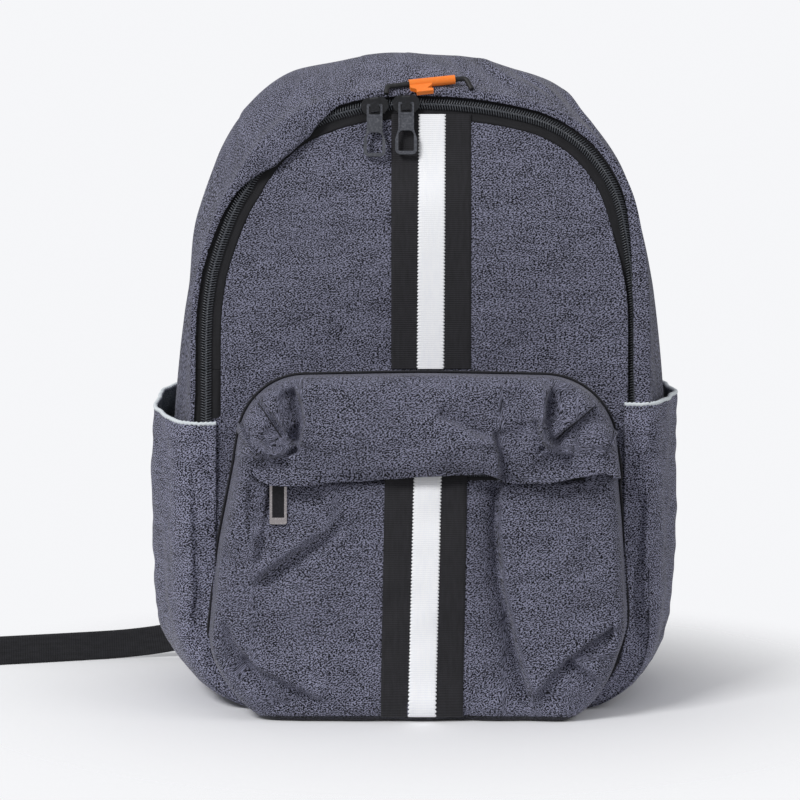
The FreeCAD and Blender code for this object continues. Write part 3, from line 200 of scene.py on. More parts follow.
def fold(a, b, line, right, left, wide_right, wide_left, soft=1.6, ends=0.18):
    """A fold in cloth: a step across a line, each side dying away exponentially, and the
    whole step easing out towards the line's two ends."""
    gap, along = near_line(a, b, line)
    step = 0.5 + 0.5 * np.tanh(gap / soft)
    fade = ease(along / ends) * ease((1 - along) / ends)
    gap = np.abs(gap)
    return fade * (step * right * np.exp(-gap / wide_right)
                   + (1 - step) * left * np.exp(-gap / wide_left))


def unit(vectors):
    """Each vector divided by its own length."""
    return vectors / np.maximum(np.linalg.norm(vectors, axis=-1, keepdims=True), 1e-9)


def run_of(line):
    """How far along a polyline each of its points lies: the sum of the steps before it."""
    return np.concatenate([[0], np.cumsum(np.linalg.norm(np.diff(line, axis=0), axis=1))])


def resample(line, count):
    """count points spread evenly along a polyline, by its own length."""
    line = np.asarray(line, float)
    reach = run_of(line)
    at = np.linspace(0, reach[-1], count)
    return np.stack([np.interp(at, reach, line[:, k]) for k in range(line.shape[1])], -1)


def bent(corners, steps=10):
    """An open line through corners (across, up, radius), each rounded by a tangent arc."""
    spots = np.array([c[:2] for c in corners], float)
    made = [spots[:1]]
    for before, here, after, (_, _, radius) in zip(spots[:-2], spots[1:-1], spots[2:],
                                                   corners[1:-1]):
        to_a, to_b = unit(before - here), unit(after - here)
        half = math.acos(float(np.clip(to_a @ to_b, -1, 1))) / 2
        middle = unit(to_a + to_b)
        centre = here + middle * radius / math.sin(half)
        sweep = math.pi - 2 * half
        turn = np.linspace(-sweep / 2, sweep / 2, steps)
        back = -middle
        side = np.array([-back[1], back[0]])
        if side @ to_b < 0:
            side = -side
        made.append(centre + radius * (np.cos(turn)[:, None] * back
                                       + np.sin(turn)[:, None] * side))
    made.append(spots[-1:])
    return np.concatenate(made)


sample = fold(np.array(10.0), np.array(5.0), ((0, 0), (0, 10)), 4, -2, 12, 6)
print("a fold 4 mm high, 10 mm from its line:", sample.round(2), "mm")

# %% [markdown]
# Next come the finishes. The pack is mostly one cloth: a heather twill, woven from dark and
# pale yarns that were mixed before spinning, so every thread changes shade along its
# length. It is built once as a node group from the way it is woven: warp and weft are noise
# stretched along each thread, and the diagonal steps of the twill choose between them.

# %% Node helpers
def add(tree, kind, values=(), **settings):
    """One node; values fill its inputs by name or number, and a socket is linked."""
    made = tree.nodes.new(kind)
    for key, value in settings.items():
        setattr(made, key, value)
    for key, value in dict(values).items():
        if isinstance(value, bpy.types.NodeSocket):
            tree.links.new(value, made.inputs[key])
        else:
            made.inputs[key].default_value = value
    return made


def work_out(tree, operation, *values):
    """A math node's result."""
    node = add(tree, "ShaderNodeMath", dict(enumerate(values)), operation=operation)
    return node.outputs[0]


def blended(tree, share, low, high):
    """A colour between two, by a share."""
    node = tree.nodes.new("ShaderNodeMix")
    node.data_type = "RGBA"
    for key, value in ((0, share), (6, low), (7, high)):
        if isinstance(value, bpy.types.NodeSocket):
            tree.links.new(value, node.inputs[key])
        else:
            node.inputs[key].default_value = value
    return node.outputs[2]


def group(name, inputs, outputs):
    """An empty node group with its named sockets, and its two end nodes."""
    tree = bpy.data.node_groups.new(name, "ShaderNodeTree")
    for label, kind, value in inputs:
        made = tree.interface.new_socket(name=label, in_out="INPUT", socket_type=kind)
        if value is not None:
            made.default_value = value
    for label, kind in outputs:
        tree.interface.new_socket(name=label, in_out="OUTPUT", socket_type=kind)
    return tree, tree.nodes.new("NodeGroupInput"), tree.nodes.new("NodeGroupOutput")


VECTOR, NUMBER, COLOUR = "NodeSocketVector", "NodeSocketFloat", "NodeSocketColor"


def place_on(tree, source, size, turn=0.0):
    """The cloth's place, turned back and then divided by a pattern's size each way."""
    return add(tree, "ShaderNodeMapping", {"Vector": source, "Scale": size,
                                           "Rotation": (0, 0, turn)},
               vector_type="TEXTURE").outputs[0]


# %% Heather weave
TWILL_ANGLE, TWILL_PITCH = 39, 1.5  # degrees; millimetres between two of its lines


def heather_weave():
    """Twill of pale and dark threads: noise stretched along the twill's diagonal and along
    the weft gives single threads, coarser noises the slubs and clouds, a sine the twill's
    lines, and their sum is sharpened between two shades."""
    tree, given, out = group("heather weave", [
        ("Place", VECTOR, None), ("Fine", NUMBER, 1.0), ("Contrast", NUMBER, 1.0),
        ("Dark", COLOUR, (0.02, 0.02, 0.03, 1)), ("Pale", COLOUR, (0.3, 0.3, 0.36, 1))],
        [("Colour", COLOUR), ("Height", NUMBER), ("Rough", NUMBER)])
    place = given.outputs["Place"]

    def noise(stretch, turn, detail, scale=1.0):
        """Noise drawn out to a size each way, in millimetres, and turned."""
        return add(tree, "ShaderNodeTexNoise", {
            "Vector": place_on(tree, place, stretch, turn), "Detail": detail,
            "Roughness": 0.5, "Scale": scale}).outputs[0]

    along = math.radians(TWILL_ANGLE)
    twill = noise((1.3, 0.74, 1), along, 0.0, given.outputs["Fine"])
    weft = noise((1.9, 0.76, 1), 0.0, 0.0, given.outputs["Fine"])
    slub = noise((12.0, 1.9, 1), 0.0, 2.0)
    cloud = noise((30, 13, 1), 0.0, 2.0)
    flat = add(tree, "ShaderNodeSeparateXYZ", {0: place_on(tree, place, (1, 1, 1), along)})
    lines = work_out(tree, "SINE", work_out(tree, "MULTIPLY", flat.outputs[1],
                                            2 * math.pi / TWILL_PITCH))
    thread = work_out(tree, "ADD", work_out(tree, "MULTIPLY", twill, 0.5),
                      work_out(tree, "MULTIPLY", weft, 0.5))
    soft = work_out(tree, "ADD", work_out(tree, "MULTIPLY", slub, 0.6),
                    work_out(tree, "MULTIPLY", cloud, 0.4))
    centred = work_out(tree, "MULTIPLY", work_out(tree, "SUBTRACT", thread, 0.5), 11.0)
    raised = work_out(tree, "MULTIPLY_ADD", lines, 0.28, centred)
    drift = work_out(tree, "MULTIPLY", work_out(tree, "SUBTRACT", soft, 0.5), 2.3)
    both = work_out(tree, "MULTIPLY", work_out(tree, "ADD", raised, drift),
                    given.outputs["Contrast"])
    share = work_out(tree, "ADD", both, 0.36)
    tree.links.new(blended(tree, share, given.outputs["Dark"], given.outputs["Pale"]),
                   out.inputs["Colour"])
    tree.links.new(share, out.inputs["Height"])
    tree.links.new(work_out(tree, "MULTIPLY_ADD", thread, -0.2, 0.95), out.inputs["Rough"])
    return tree


HEATHER = heather_weave()


# %% Ribbed weave
def ribbed_weave():
    """Fine ribs across the webbing, broken into threads by a second wave along it."""
    tree, given, out = group("ribbed weave", [
        ("Place", VECTOR, None), ("Rib", NUMBER, 1.2), ("Thread", NUMBER, 0.9),
        ("Low", COLOUR, (0.02, 0.02, 0.02, 1)), ("High", COLOUR, (0.05, 0.05, 0.05, 1))],
        [("Colour", COLOUR), ("Height", NUMBER)])
    flat = add(tree, "ShaderNodeSeparateXYZ", {0: given.outputs["Place"]})
    ribs = work_out(tree, "ABSOLUTE", work_out(tree, "SINE", work_out(
        tree, "DIVIDE", work_out(tree, "MULTIPLY", flat.outputs[1], math.pi),
        given.outputs["Rib"])))
    threads = work_out(tree, "ABSOLUTE", work_out(tree, "SINE", work_out(
        tree, "DIVIDE", work_out(tree, "MULTIPLY", flat.outputs[0], math.pi),
        given.outputs["Thread"])))
    cloudy = add(tree, "ShaderNodeTexNoise", {
        "Vector": place_on(tree, given.outputs["Place"], (2, 11, 1)), "Scale": 1.0,
        "Detail": 3.0}).outputs[0]
    height = work_out(tree, "MULTIPLY", ribs, work_out(tree, "MULTIPLY_ADD", threads, 0.4,
                                                       0.6))
    share = work_out(tree, "MULTIPLY_ADD", height, 0.55,
                     work_out(tree, "MULTIPLY_ADD", cloudy, 0.9, -0.25))
    tree.links.new(blended(tree, share, given.outputs["Low"], given.outputs["High"]),
                   out.inputs["Colour"])
    tree.links.new(height, out.inputs["Height"])
    return tree


RIBBED = ribbed_weave()


# %% Edge wear, and painted glints on the zip's coil
def wear_and_glint_specks():
    """Speckled rubbing: noise sharpened into spots, for what hands and cloth rub. On the
    zip's coil the same spots are painted highlight, standing for glints on its teeth.
    """
    tree, given, out = group("rubbed specks and glints", [
        ("Place", VECTOR, None), ("Size", NUMBER, 900.0), ("Amount", NUMBER, 0.5)],
        [("Mask", NUMBER), ("Height", NUMBER)])
    specks = add(tree, "ShaderNodeTexNoise", {"Vector": given.outputs["Place"],
                                              "Scale": given.outputs["Size"],
                                              "Detail": 5.0}).outputs[0]
    mask = add(tree, "ShaderNodeMapRange", {0: specks, 1: 0.45, 2: 0.75, 3: 0.0,
                                            4: given.outputs["Amount"]}).outputs[0]
    tree.links.new(mask, out.inputs["Mask"])
    tree.links.new(specks, out.inputs["Height"])
    return tree


WEAR_AND_GLINT = wear_and_glint_specks()


# %% Starting a finish
def start_finish(name, **constants):
    """A new material with its Principled shader; constants go on the shader's sockets."""
    finish = bpy.data.materials.new(name)
    finish.use_nodes = True
    tree = finish.node_tree
    shader = tree.nodes["Principled BSDF"]
    for key, value in constants.items():
        shader.inputs[key.replace("_", " ")].default_value = value
    return finish, tree, shader


def cloth_place(tree):
    """Where a point lies on its own cloth, in millimetres."""
    return add(tree, "ShaderNodeUVMap", uv_map="cloth").outputs[0]


def bumped(tree, shader, height, strength, distance, below=None):
    """A bump from a height, over another one below it, feeding the shader's normal."""
    values = {"Height": height, "Strength": strength, "Distance": distance}
    if below is not None:
        values["Normal"] = below
    normal = add(tree, "ShaderNodeBump", values).outputs[0]
    tree.links.new(normal, shader.inputs["Normal"])


def rgb(red, green, blue):
    """A shade from 0-255 values, as the linear colour that shaders use."""
    given = np.array([red, green, blue]) / 255
    linear = np.where(given < 0.04045, given / 12.92, ((given + 0.055) / 1.055) ** 2.4)
    return (*linear.tolist(), 1.0)


# %% Cloth finishes
NAP = 0.1  # sheen of the loose fibres on a cloth's surface
THREAD_RISE = 0.0003  # metres that a thread stands above its neighbours


def cloth_finish(name, dark, pale, fine=1.0, contrast=1.0, bump=0.08):
    """Heather cloth: its weave colours and raises it, and soft creases roll under that."""
    finish, tree, shader = start_finish(name, Roughness=0.9, Sheen_Weight=NAP,
                                        Sheen_Roughness=0.5, Specular_IOR_Level=0.2)
    place = cloth_place(tree)
    weave = add(tree, "ShaderNodeGroup", node_tree=HEATHER)
    tree.links.new(place, weave.inputs["Place"])
    for key, value in (("Fine", fine), ("Contrast", contrast), ("Dark", dark),
                       ("Pale", pale)):
        weave.inputs[key].default_value = value
    creases = add(tree, "ShaderNodeTexNoise", {
        "Vector": place_on(tree, place, (24, 17, 1)), "Scale": 1.0, "Detail": 1.0,
        "Distortion": 0.6}).outputs[0]
    tree.links.new(weave.outputs["Colour"], shader.inputs["Base Color"])
    tree.links.new(weave.outputs["Rough"], shader.inputs["Roughness"])
    soft = add(tree, "ShaderNodeBump", {"Height": creases, "Strength": 0.6,
                                        "Distance": 0.0045}).outputs[0]
    bumped(tree, shader, weave.outputs["Height"], bump, THREAD_RISE, soft)
    return finish


def webbing_finish(name, low, high, rib=1.2, thread=0.9, rough=0.75, bump=0.5):
    """Woven tape or webbing, ribbed across."""
    finish, tree, shader = start_finish(name, Roughness=rough, Sheen_Weight=NAP,
                                        Specular_IOR_Level=0.3)
    weave = add(tree, "ShaderNodeGroup", node_tree=RIBBED)
    tree.links.new(cloth_place(tree), weave.inputs["Place"])
    for key, value in (("Rib", rib), ("Thread", thread), ("Low", low), ("High", high)):
        weave.inputs[key].default_value = value
    tree.links.new(weave.outputs["Colour"], shader.inputs["Base Color"])
    bumped(tree, shader, weave.outputs["Height"], bump, THREAD_RISE)
    return finish


SHELL = cloth_finish("charcoal_heather", rgb(7, 7, 11), rgb(134, 135, 156), 1.4)
SIDE = cloth_finish("charcoal_heather_side", rgb(9, 9, 14), rgb(151, 152, 175), 1.3)
BASE = cloth_finish("charcoal_base", rgb(8, 8, 12), rgb(58, 58, 68), 1.2)
LINING = cloth_finish("grey_lining", rgb(96, 104, 108), rgb(150, 158, 160), 1.2, 0.5, 0.2)
MESH = cloth_finish("back_mesh", rgb(12, 12, 14), rgb(58, 58, 64), 0.6, 1.0, 0.9)
STRIPE_BLACK = webbing_finish("stripe_black", rgb(17, 17, 19), rgb(43, 42, 47), 1.3, 1.0)
STRIPE_WHITE = webbing_finish("stripe_white", rgb(241, 243, 249), rgb(255, 255, 255), 1.25,
                              1.4, 0.7, 0.35)
WEBBING = webbing_finish("strap_webbing", rgb(18, 18, 20), rgb(52, 52, 56), 1.6, 1.3)
BINDING = webbing_finish("rim_binding", rgb(196, 205, 212), rgb(246, 250, 252), 0.9, 2.0)
TAPE = webbing_finish("zip_tape", rgb(14, 14, 16), rgb(38, 38, 42), 0.8, 0.8, 0.8)
HANDLE = webbing_finish("haul_webbing", rgb(20, 20, 22), rgb(58, 58, 62), 1.8, 1.5)
# Dark tube cloth: painted shade in the groove of the pocket's seam, and the hood's dark
# dart seams.
DARK_SEAM_AND_SHADE = webbing_finish("dark_seam_and_shade", rgb(16, 16, 20), rgb(40, 40, 46), 1.0, 1.0)

# %% [markdown]
# Paint and plastic that hands touch turn paler and duller in specks. One group makes the
# specks, and each finish below sets its own two shades, roughness and shine. On the zip's
# coil the paler specks are painted highlight instead, standing for the glints on its teeth.

# %% Hard finishes
def hard_finish(name, shade, worn_and_glint, roughness, metallic=0.0, coat=0.0, size=900.0,
                amount=0.5, bump=0.1, **constants):
    """Painted metal or moulded plastic, rubbed in specks where it is handled; on the zip's
    coil the paler specks are painted highlight.
    """
    finish, tree, shader = start_finish(name, Metallic=metallic, Coat_Weight=coat,
                                        Coat_Roughness=0.08, **constants)
    wear_and_glint_node = add(tree, "ShaderNodeGroup", node_tree=WEAR_AND_GLINT)
    tree.links.new(add(tree, "ShaderNodeTexCoord").outputs["Object"], wear_and_glint_node.inputs["Place"])
    wear_and_glint_node.inputs["Size"].default_value, wear_and_glint_node.inputs["Amount"].default_value = size, amount
    tree.links.new(blended(tree, wear_and_glint_node.outputs["Mask"], shade, worn_and_glint),
                   shader.inputs["Base Color"])
    tree.links.new(work_out(tree, "MULTIPLY_ADD", wear_and_glint_node.outputs["Mask"], 0.25, roughness),
                   shader.inputs["Roughness"])
    bumped(tree, shader, wear_and_glint_node.outputs["Height"], bump, 0.0002)
    return finish


# The coil is dark plastic lifted to grey, and its paler specks stand for the glints on its
# teeth: painted highlight.
COIL_GLINT_PAINTED = hard_finish("zip_coil", rgb(66, 69, 75), rgb(128, 132, 140), 0.26, size=1500.0)
LACQUER = hard_finish("slider_lacquer", rgb(30, 31, 35), rgb(66, 68, 75), 0.12, 0.65, 0.8)
GUNMETAL = hard_finish("pull_gunmetal", rgb(86, 88, 95), rgb(136, 138, 145), 0.32, 0.5)
NICKEL = hard_finish("pull_nickel", rgb(196, 189, 190), rgb(236, 230, 230), 0.22, 0.85)
INSERT = hard_finish("pull_insert", rgb(20, 19, 24), rgb(52, 50, 58), 0.35, 0.3)
BUCKLE = hard_finish("buckle_plastic", rgb(22, 22, 24), rgb(56, 56, 60), 0.42)
LOOP_CORD = hard_finish("loop_cord", rgb(20, 20, 22), rgb(54, 54, 58), 0.55, bump=0.4)
ORANGE = hard_finish("orange_plastic", rgb(255, 128, 36), rgb(255, 160, 84), 0.38,
                     amount=0.35, Subsurface_Weight=0.08)
print("finishes:", sorted(m.name for m in bpy.data.materials))

# %% [markdown]
# The two loose ends of the shoulder straps come first, because they lie on the floor and
# decide how far the model spreads. Each is flat webbing: a smooth NURBS line gives its
# route, and a ribbon is carried along it. It leaves the lock across the strap and has
# turned on edge by the time it reaches the floor, as stiff webbing does.

# %% Ribbons along a line
WEB_WIDTH = 20  # of the straps' webbing and the haul loop's
WEB_THICK = 1.5


def spots_of(mesh):
    """A mesh's points as an array in millimetres."""
    spots = np.empty(len(mesh.vertices) * 3)
    mesh.vertices.foreach_get("co", spots)
    return spots.reshape(-1, 3) / MM


def nurbs_points(name, route):
    """Points along a NURBS spline of order 3 that starts and ends at the route's ends."""
    curve = bpy.data.curves.new(name, "CURVE")
    curve.dimensions, curve.resolution_u = "3D", 24
    spline = curve.splines.new("NURBS")
    spline.points.add(len(route) - 1)
    spline.points.foreach_set("co", np.c_[np.array(route) * MM,
                                          np.ones(len(route))].ravel())
    spline.order_u, spline.use_endpoint_u = 3, True
    guide = put(name, curve)
    bpy.context.view_layer.update()
    traced = bpy.data.meshes.new_from_object(guide)
    spots = spots_of(traced)
    bpy.data.objects.remove(guide)
    bpy.data.meshes.remove(traced)
    return spots


def ribbon(name, line, across, thick, finish):
    """Flat webbing along a line. across gives the direction of its width at each point; the
    two faces keep 45% of their thickness at the selvedges, by an eighth power."""
    line = np.asarray(line, float)
    ahead = unit(np.gradient(line, axis=0))
    across = unit(across - (across * ahead).sum(-1, keepdims=True) * ahead)
    up = np.cross(across, ahead)
    share = np.linspace(-1, 1, 13)
    face = thick / 2 * (1 - np.abs(share) ** 8 * 0.55)
    round_trip = np.concatenate([share, share[::-1]])
    lift = np.concatenate([face, -face[::-1]])
    points = (line[:, None] + across[:, None] * (round_trip * WEB_WIDTH / 2)[None, :, None]
              + up[:, None] * lift[None, :, None])
    points = np.concatenate([points, points[:, :1]], 1)
    along_width = np.concatenate([round_trip, [-1.0]])[None] * WEB_WIDTH / 2
    cloth = np.stack(np.broadcast_arrays(along_width, run_of(line)[:, None]), -1)
    piece = sheet(name, points, [finish], cloth, flip=True)
    close_ends(piece, *points.shape[:2])
    return piece


# %% Lay the strap tails
TAIL_ROUTES = {  # from the lock to the bare end
    "left": ((-123.25, 87.36, 59.71), (-131, 91, 37), (-150, 97, 19), (-195, 95, 10.4),
             (-252, 75, 10.4), (-308, 57.5, 10.4)),
    "right": ((123.25, 87.36, 59.71), (129.5, 92.5, 37.5), (122, 106, 20), (92, 130, 10.4),
              (38, 146, 10.4), (-18, 143, 10.4)),
}
LOCK_FACE = (0.942, 0.0, 0.309)  # the width's direction in the lock, on the right
TURN_BY = 0.42  # share of the length after which the webbing stands on edge
for side, name in SIDES:
    route = TAIL_ROUTES[name]
    line = nurbs_points("tail_" + name, route)
    turned = ease(np.linspace(0, 1, len(line))[:, None] / TURN_BY)
    across = (np.array([LOCK_FACE]) * np.array([side, 1, 1]) * (1 - turned)
              + np.array([[0.0, 0.0, 1.0]]) * turned)
    tail = ribbon("strap_tail_cloth_" + name, line, across, WEB_THICK, WEBBING)
    settle(tail, "pack", "black_webbing", "strap_tail_" + name)
    print(tail.name, "runs", run_of(line)[-1].round(1), "mm")

# %% [markdown]
# The bag itself is a tube of cloth lofted through three arches: the zip line in front, the
# fullest section behind it and the seam of the back panel. Each arch is a chain of tangent
# arcs. A packed but soft bag doesn't keep that line: its upper left shoulder has sunk
# inwards, so one function moves every piece that is sewn there by the same amount.

# %% Arches and the leaning front
LEAN = math.radians(4.0)
FOOT_FORWARD = 80  # the front's foot stands this far before the pack's middle
FOLD_UP = 212.3  # height of the zip's two lower ends, where the flap folds
FLAP_EDGE = -9.2  # the flap's cloth ends this far inside the zip line
ARCHES = {  # half width, top, radius and angle of crown and of leg, foot radius, foot
    "zip": (134, 379, 280, 14, 330, 12, 38, 9.7),
    "middle": (162, 415, 240, 17, 560, 21, 55, 0.0),
    "rear": (150, 402, 240, 17, 560, 17, 45, 0.0),
}
STEPS = {"base": 22, "foot": 22, "side": 50, "leg": 52, "shoulder": 64, "crown": 26}


def on_front(across, up, out=0.0):
    """A point of the front, which leans back about its foot: across stays, up and out are
    turned by the lean."""
    across, up, out = np.broadcast_arrays(across, up, out)
    return np.stack([across, -FOOT_FORWARD + up * math.sin(LEAN) - out * math.cos(LEAN),
                     up * math.cos(LEAN) + out * math.sin(LEAN)], -1)


def arch(section, grow):
    """The closed arch, pushed outward by grow, from the middle of its foot up its right
    side, over the crown and down the left. The shoulder's arc takes the radius that makes
    it tangent to leg and crown, and its centre lies on the lines to theirs. Every run has
    the same number of points in every section, so sections join point to point."""
    wide, top, crown, tilt, leg, lean, foot, low = ARCHES[section]
    wide, crown, leg, foot, low = (wide + grow, crown + grow, leg + grow, foot + grow,
                                   low - grow)
    tilt, lean = math.radians(tilt), math.radians(lean)
    crown_at = np.array([0.0, top + grow - crown])
    bend = ((wide - crown * math.sin(tilt) - leg * (1 - math.cos(lean)))
            / (math.cos(lean) - math.sin(tilt)))
    bend_at = crown_at + (crown - bend) * np.array([math.sin(tilt), math.cos(tilt)])
    leg_at = bend_at + (bend - leg) * np.array([math.cos(lean), math.sin(lean)])
    quarter = math.pi / 2

    def turn(centre, radius, start, end, count):
        """Points of an arc, without its last one."""
        angle = np.linspace(start, end, count, endpoint=False)
        return np.stack([centre[0] + radius * np.cos(angle),
                         centre[1] + radius * np.sin(angle)], -1)

    flat = np.linspace(0, 1, STEPS["base"], endpoint=False)
    rise = np.linspace(0, 1, STEPS["side"], endpoint=False)
    half = np.concatenate([
        np.stack([flat * (wide - foot), np.full_like(flat, low)], -1),
        turn((wide - foot, low + foot), foot, -quarter, 0, STEPS["foot"]),
        np.stack([np.full_like(rise, wide),
                  low + foot + rise * (leg_at[1] - low - foot)], -1),
        turn(leg_at, leg, 0, lean, STEPS["leg"]),
        turn(bend_at, bend, lean, quarter - tilt, STEPS["shoulder"]),
        turn(crown_at, crown, quarter - tilt, quarter, STEPS["crown"])])
    top_point = crown_at + np.array([[0.0, crown]])
    return np.concatenate([half, top_point, half[::-1] * np.array([-1.0, 1.0])])[:-1]


def over(section, grow, low, count):
    """The arch above a height, from its right end over the top to its left, evenly spaced.
    """
    whole = arch(section, grow)
    above = whole[whole[:, 1] > low]
    width = above[0, 0]
    line = np.concatenate([[[width, low]], above, [[-width, low]]])
    return resample(line, count)

# %% [markdown]
# Where a soft bag has given way, everything sewn there moves together. One function holds
# that dent, another how far the gusset's edge rolls over the zip, and a third how far the
# flap puffs out, so each piece asks the same three.

# %% The shoulder that has sunk
CENTRE_UP = 250  # directions on the front are measured round this height
SUNK_AT = (-8, 0, 10, 18, 28, 35, 42, 50, 58, 66, 74)  # degrees, from the left upwards
SUNK_BY = (0, 0.6, 2.4, 5.4, 9.6, 11.8, 10.6, 7.6, 4.4, 1.8, 0)
SUNK_DEEP = 62  # the dent ends this far behind the front


def sink(across, up, behind=0.0):
    """Moves points of the upper left towards the middle of the front by a table of their
    direction; less further in and further back, and not at all round the sliders."""
    high = up - CENTRE_UP
    angle = np.degrees(np.arctan2(high, -across))
    reach = np.hypot(across, high)
    drop = (np.interp(angle, SUNK_AT, SUNK_BY) * ease((reach / 138 - 0.3) / 0.65)
            * ease(1 - behind / SUNK_DEEP))
    return (across - across / np.maximum(reach, 1) * drop,
            up - high / np.maximum(reach, 1) * drop)


def slump(up):
    """How far the upper back has leaned over to the left, from 262 mm up."""
    return 5 * ease((up - 262) / 50)


COVER = np.array((  # round the zip from the right: degrees, how far in, how far forward
    (-60, 0.6, 0.5), (-26, 0.8, 0.6), (-23.5, 9.4, 4.4), (-15, 10.4, 5.0), (6, 10.4, 5.2),
    (18, 8.0, 4.6), (30, 5.6, 3.0), (45, 4.9, 2.6), (90, 4.9, 2.6), (104, 4.9, 2.6),
    (111.5, 5.2, 3.2), (117, 11.5, 5.3), (121, 17.2, 5.8), (128, 18.8, 6.0),
    (135, 17.6, 5.8), (140, 12.0, 5.2), (146, 6.6, 4.2), (155, 4.4, 2.8), (165, 3.6, 2.2),
    (200, 3.0, 1.8), (216, 0.8, 0.7), (300, 0.6, 0.5)))


def cover(across, up):
    """How far the gusset's front edge rolls over the zip, inward and forward, by the angle
    round the front's middle."""
    angle = np.degrees(np.arctan2(up - CENTRE_UP, across))
    angle = np.where(angle < -60, angle + 360, angle)
    return (np.interp(angle, COVER[:, 0], COVER[:, 1]),
            np.interp(angle, COVER[:, 0], COVER[:, 2]))


FLAP_FOLDS = (  # line (across, up); right and left heights; how each dies away; softness
    (((38, 352), (58, 342), (76, 322)), 1.6, -0.9, 14, 6, 3.0),
    (((-104, 226), (-88, 244), (-80, 268)), 1.0, -0.8, 10, 8, 3.0),
    (((-80, 300), (-60, 326), (-30, 344)), -0.5, 1.3, 8, 14, 4.0))


def by_sliders(across, up, high):
    """1 behind the two zip sliders and 0 away from them: a rounded square, by the fourth
    power of each distance over its half width."""
    return np.exp(-((across + 18) / 32) ** 4 - ((up - 362) / high) ** 4)


def puff(across, up):
    """How far the front flap stands forward of its flat pattern: full in its middle, held
    back along the zip, behind the sliders and at the fold, with slack waves and folds."""
    flat = over("zip", FLAP_EDGE, FOLD_UP, 400)
    corner = np.interp(np.abs(across), flat[:200, 0][::-1], flat[:200, 1][::-1])
    edge = np.minimum(corner - up, 125 - np.abs(across)) / 60
    full = 4.2 * ease(edge) * (0.5 + 0.5 * ease((up - 205) / 60))
    full *= 1 - by_sliders(across, up, 32)
    slack = 1.1 * waves(across, up * 0.6, 62, 5) * ease(edge * 2.2)
    for line, *shape in FLAP_FOLDS:
        slack += fold(across, up, line, *shape, 0.3)
    slack *= 1 - 0.97 * by_sliders(across, up, 34)
    return (full + slack) * ease((up - 212) / 64)


print("zip line", len(over("zip", 0, 184, 500)), "points; middle section top",
      arch("middle", 0)[:, 1].max())

# %% [markdown]
# The gusset, with its lining, is one closed tube of cloth. Its front edge is sewn to the
# zip tape. At the sunken shoulder the cloth rolls over the zip and hides it, and over the
# crown the slack gathers into soft creases that run back from the zip.

# %% Bag shell
DEEP, LIP = 46, 9  # points from the front's edge to the back, and across the rolled lip
SEAM_OUT = 9.7  # the gusset's front edge lies this far outside the zip line
WIDEST_AT, REAR_AT = 5.0, 75.0  # how far back the fullest section and the rear seam lie
CREASES = (  # place along the girth from its top, its lean, its height
    (-66, 30, 4.0), (-38, 16, 1.9), (-12, -14, 1.0), (22, -18, 1.3), (58, -26, 2.6),
    (96, -30, 2.8), (-96, 34, 3.0), (-130, 26, 2.8), (-176, 20, 2.4), (150, -18, 2.0))


def bag_surface():
    """Grid of the gusset: along each rib a parabola passes through the three sections, the
    slack of the cloth is added along the outward normal, and in front of the first section
    comes a lip that rolls forward and inward over the zip's tape."""
    front, chain = arch("zip", SEAM_OUT), arch("zip", 0.0)
    spots = [on_front(front[:, 0], front[:, 1])]
    for section, deep in (("middle", WIDEST_AT), ("rear", REAR_AT)):
        line = arch(section, 0.0)
        spots.append(np.stack([line[:, 0], np.full(len(line), deep), line[:, 1]], -1))
    q = np.linspace(0, 1, DEEP)[None] ** 1.15
    middle = ((WIDEST_AT - spots[0][:, 1]) / (REAR_AT - spots[0][:, 1]))[:, None]
    weights = [(q - middle) * (q - 1) / middle, q * (q - 1) / (middle * (middle - 1)),
               q * (q - middle) / (1 - middle)]
    points = sum(w[..., None] * s[:, None, :] for w, s in zip(weights, spots))
    girth = run_of(front)[:, None]
    behind = points[..., 1] - spots[0][:, None, 1]

    outward = unit(np.cross(np.gradient(points, axis=1), np.gradient(points, axis=0)))
    held = ease(behind / 14) * ease((points[..., 2] - 12) / 30)
    slack = held * 1.5 * waves(girth, behind * 0.7, 58, 11)
    run = girth + 0 * behind - girth.max() / 2
    for at, lean_by, size in CREASES:
        slack += held * fold(behind, run,
                             ((2, at), (28, at + lean_by * 0.5), (66, at + lean_by)),
                             size, -size * 0.7, 9, 6, 2.2, 0.35)
    points = points + outward * slack[..., None]

    inward_by, forward_by = (by[:, None] for by in cover(front[:, 0], front[:, 1]))
    share = np.linspace(0, 1, LIP, endpoint=False)[None]
    inside = (1 - share) * inward_by / SEAM_OUT
    flat = front[:, None] + (chain - front)[:, None] * inside[..., None]
    off = forward_by * (1 - 0.18 * (1 - share) ** 3 - 0.22 * share ** 3)
    lip = on_front(flat[..., 0], flat[..., 1], off)
    points[..., 1] -= 0.78 * forward_by * ease(1 - behind / (4 + forward_by))
    points = np.concatenate([lip, points], 1)
    back = np.concatenate([(share - 1) * inward_by, behind], 1)
    cloth = np.stack(np.broadcast_arrays(back, girth), -1)
    behind = np.maximum(back, 0)
    x, up = sink(points[..., 0], points[..., 2] / math.cos(LEAN), behind)
    points[..., 0] = x - slump(up) * ease(behind / 45)
    points[..., 2] = np.maximum(up * math.cos(LEAN), 0.0)
    return points, cloth


SHELL_WALL = 2.2
points, cloth = bag_surface()
on_base = (points[..., 2] < 3) & (np.abs(points[..., 0]) < 92)
cells = (on_base[:, :-1] & np.roll(on_base, -1, 0)[:, :-1]).astype(int) * 2
shell = sheet("bag_shell", points, [SHELL, LINING, BASE], cloth, around=True, flip=True,
              wall=SHELL_WALL, lining=1, pick=cells)
settle(shell, "pack", "shell_fabric", "gusset", "base_panel")
print("bag shell", points.shape, "widest", np.ptp(points[..., 0]).round(1))

# %% [markdown]
# A coil zip is a plastic thread wound into loops and sewn to a tape. Seen from the front,
# each loop is a short bar with a rounded head that reaches between the heads of the other
# row. One small bar is shaped once, then copied along the line by arrays: every corner of
# every copy is placed by the line's own direction, its outward side and the front's face.

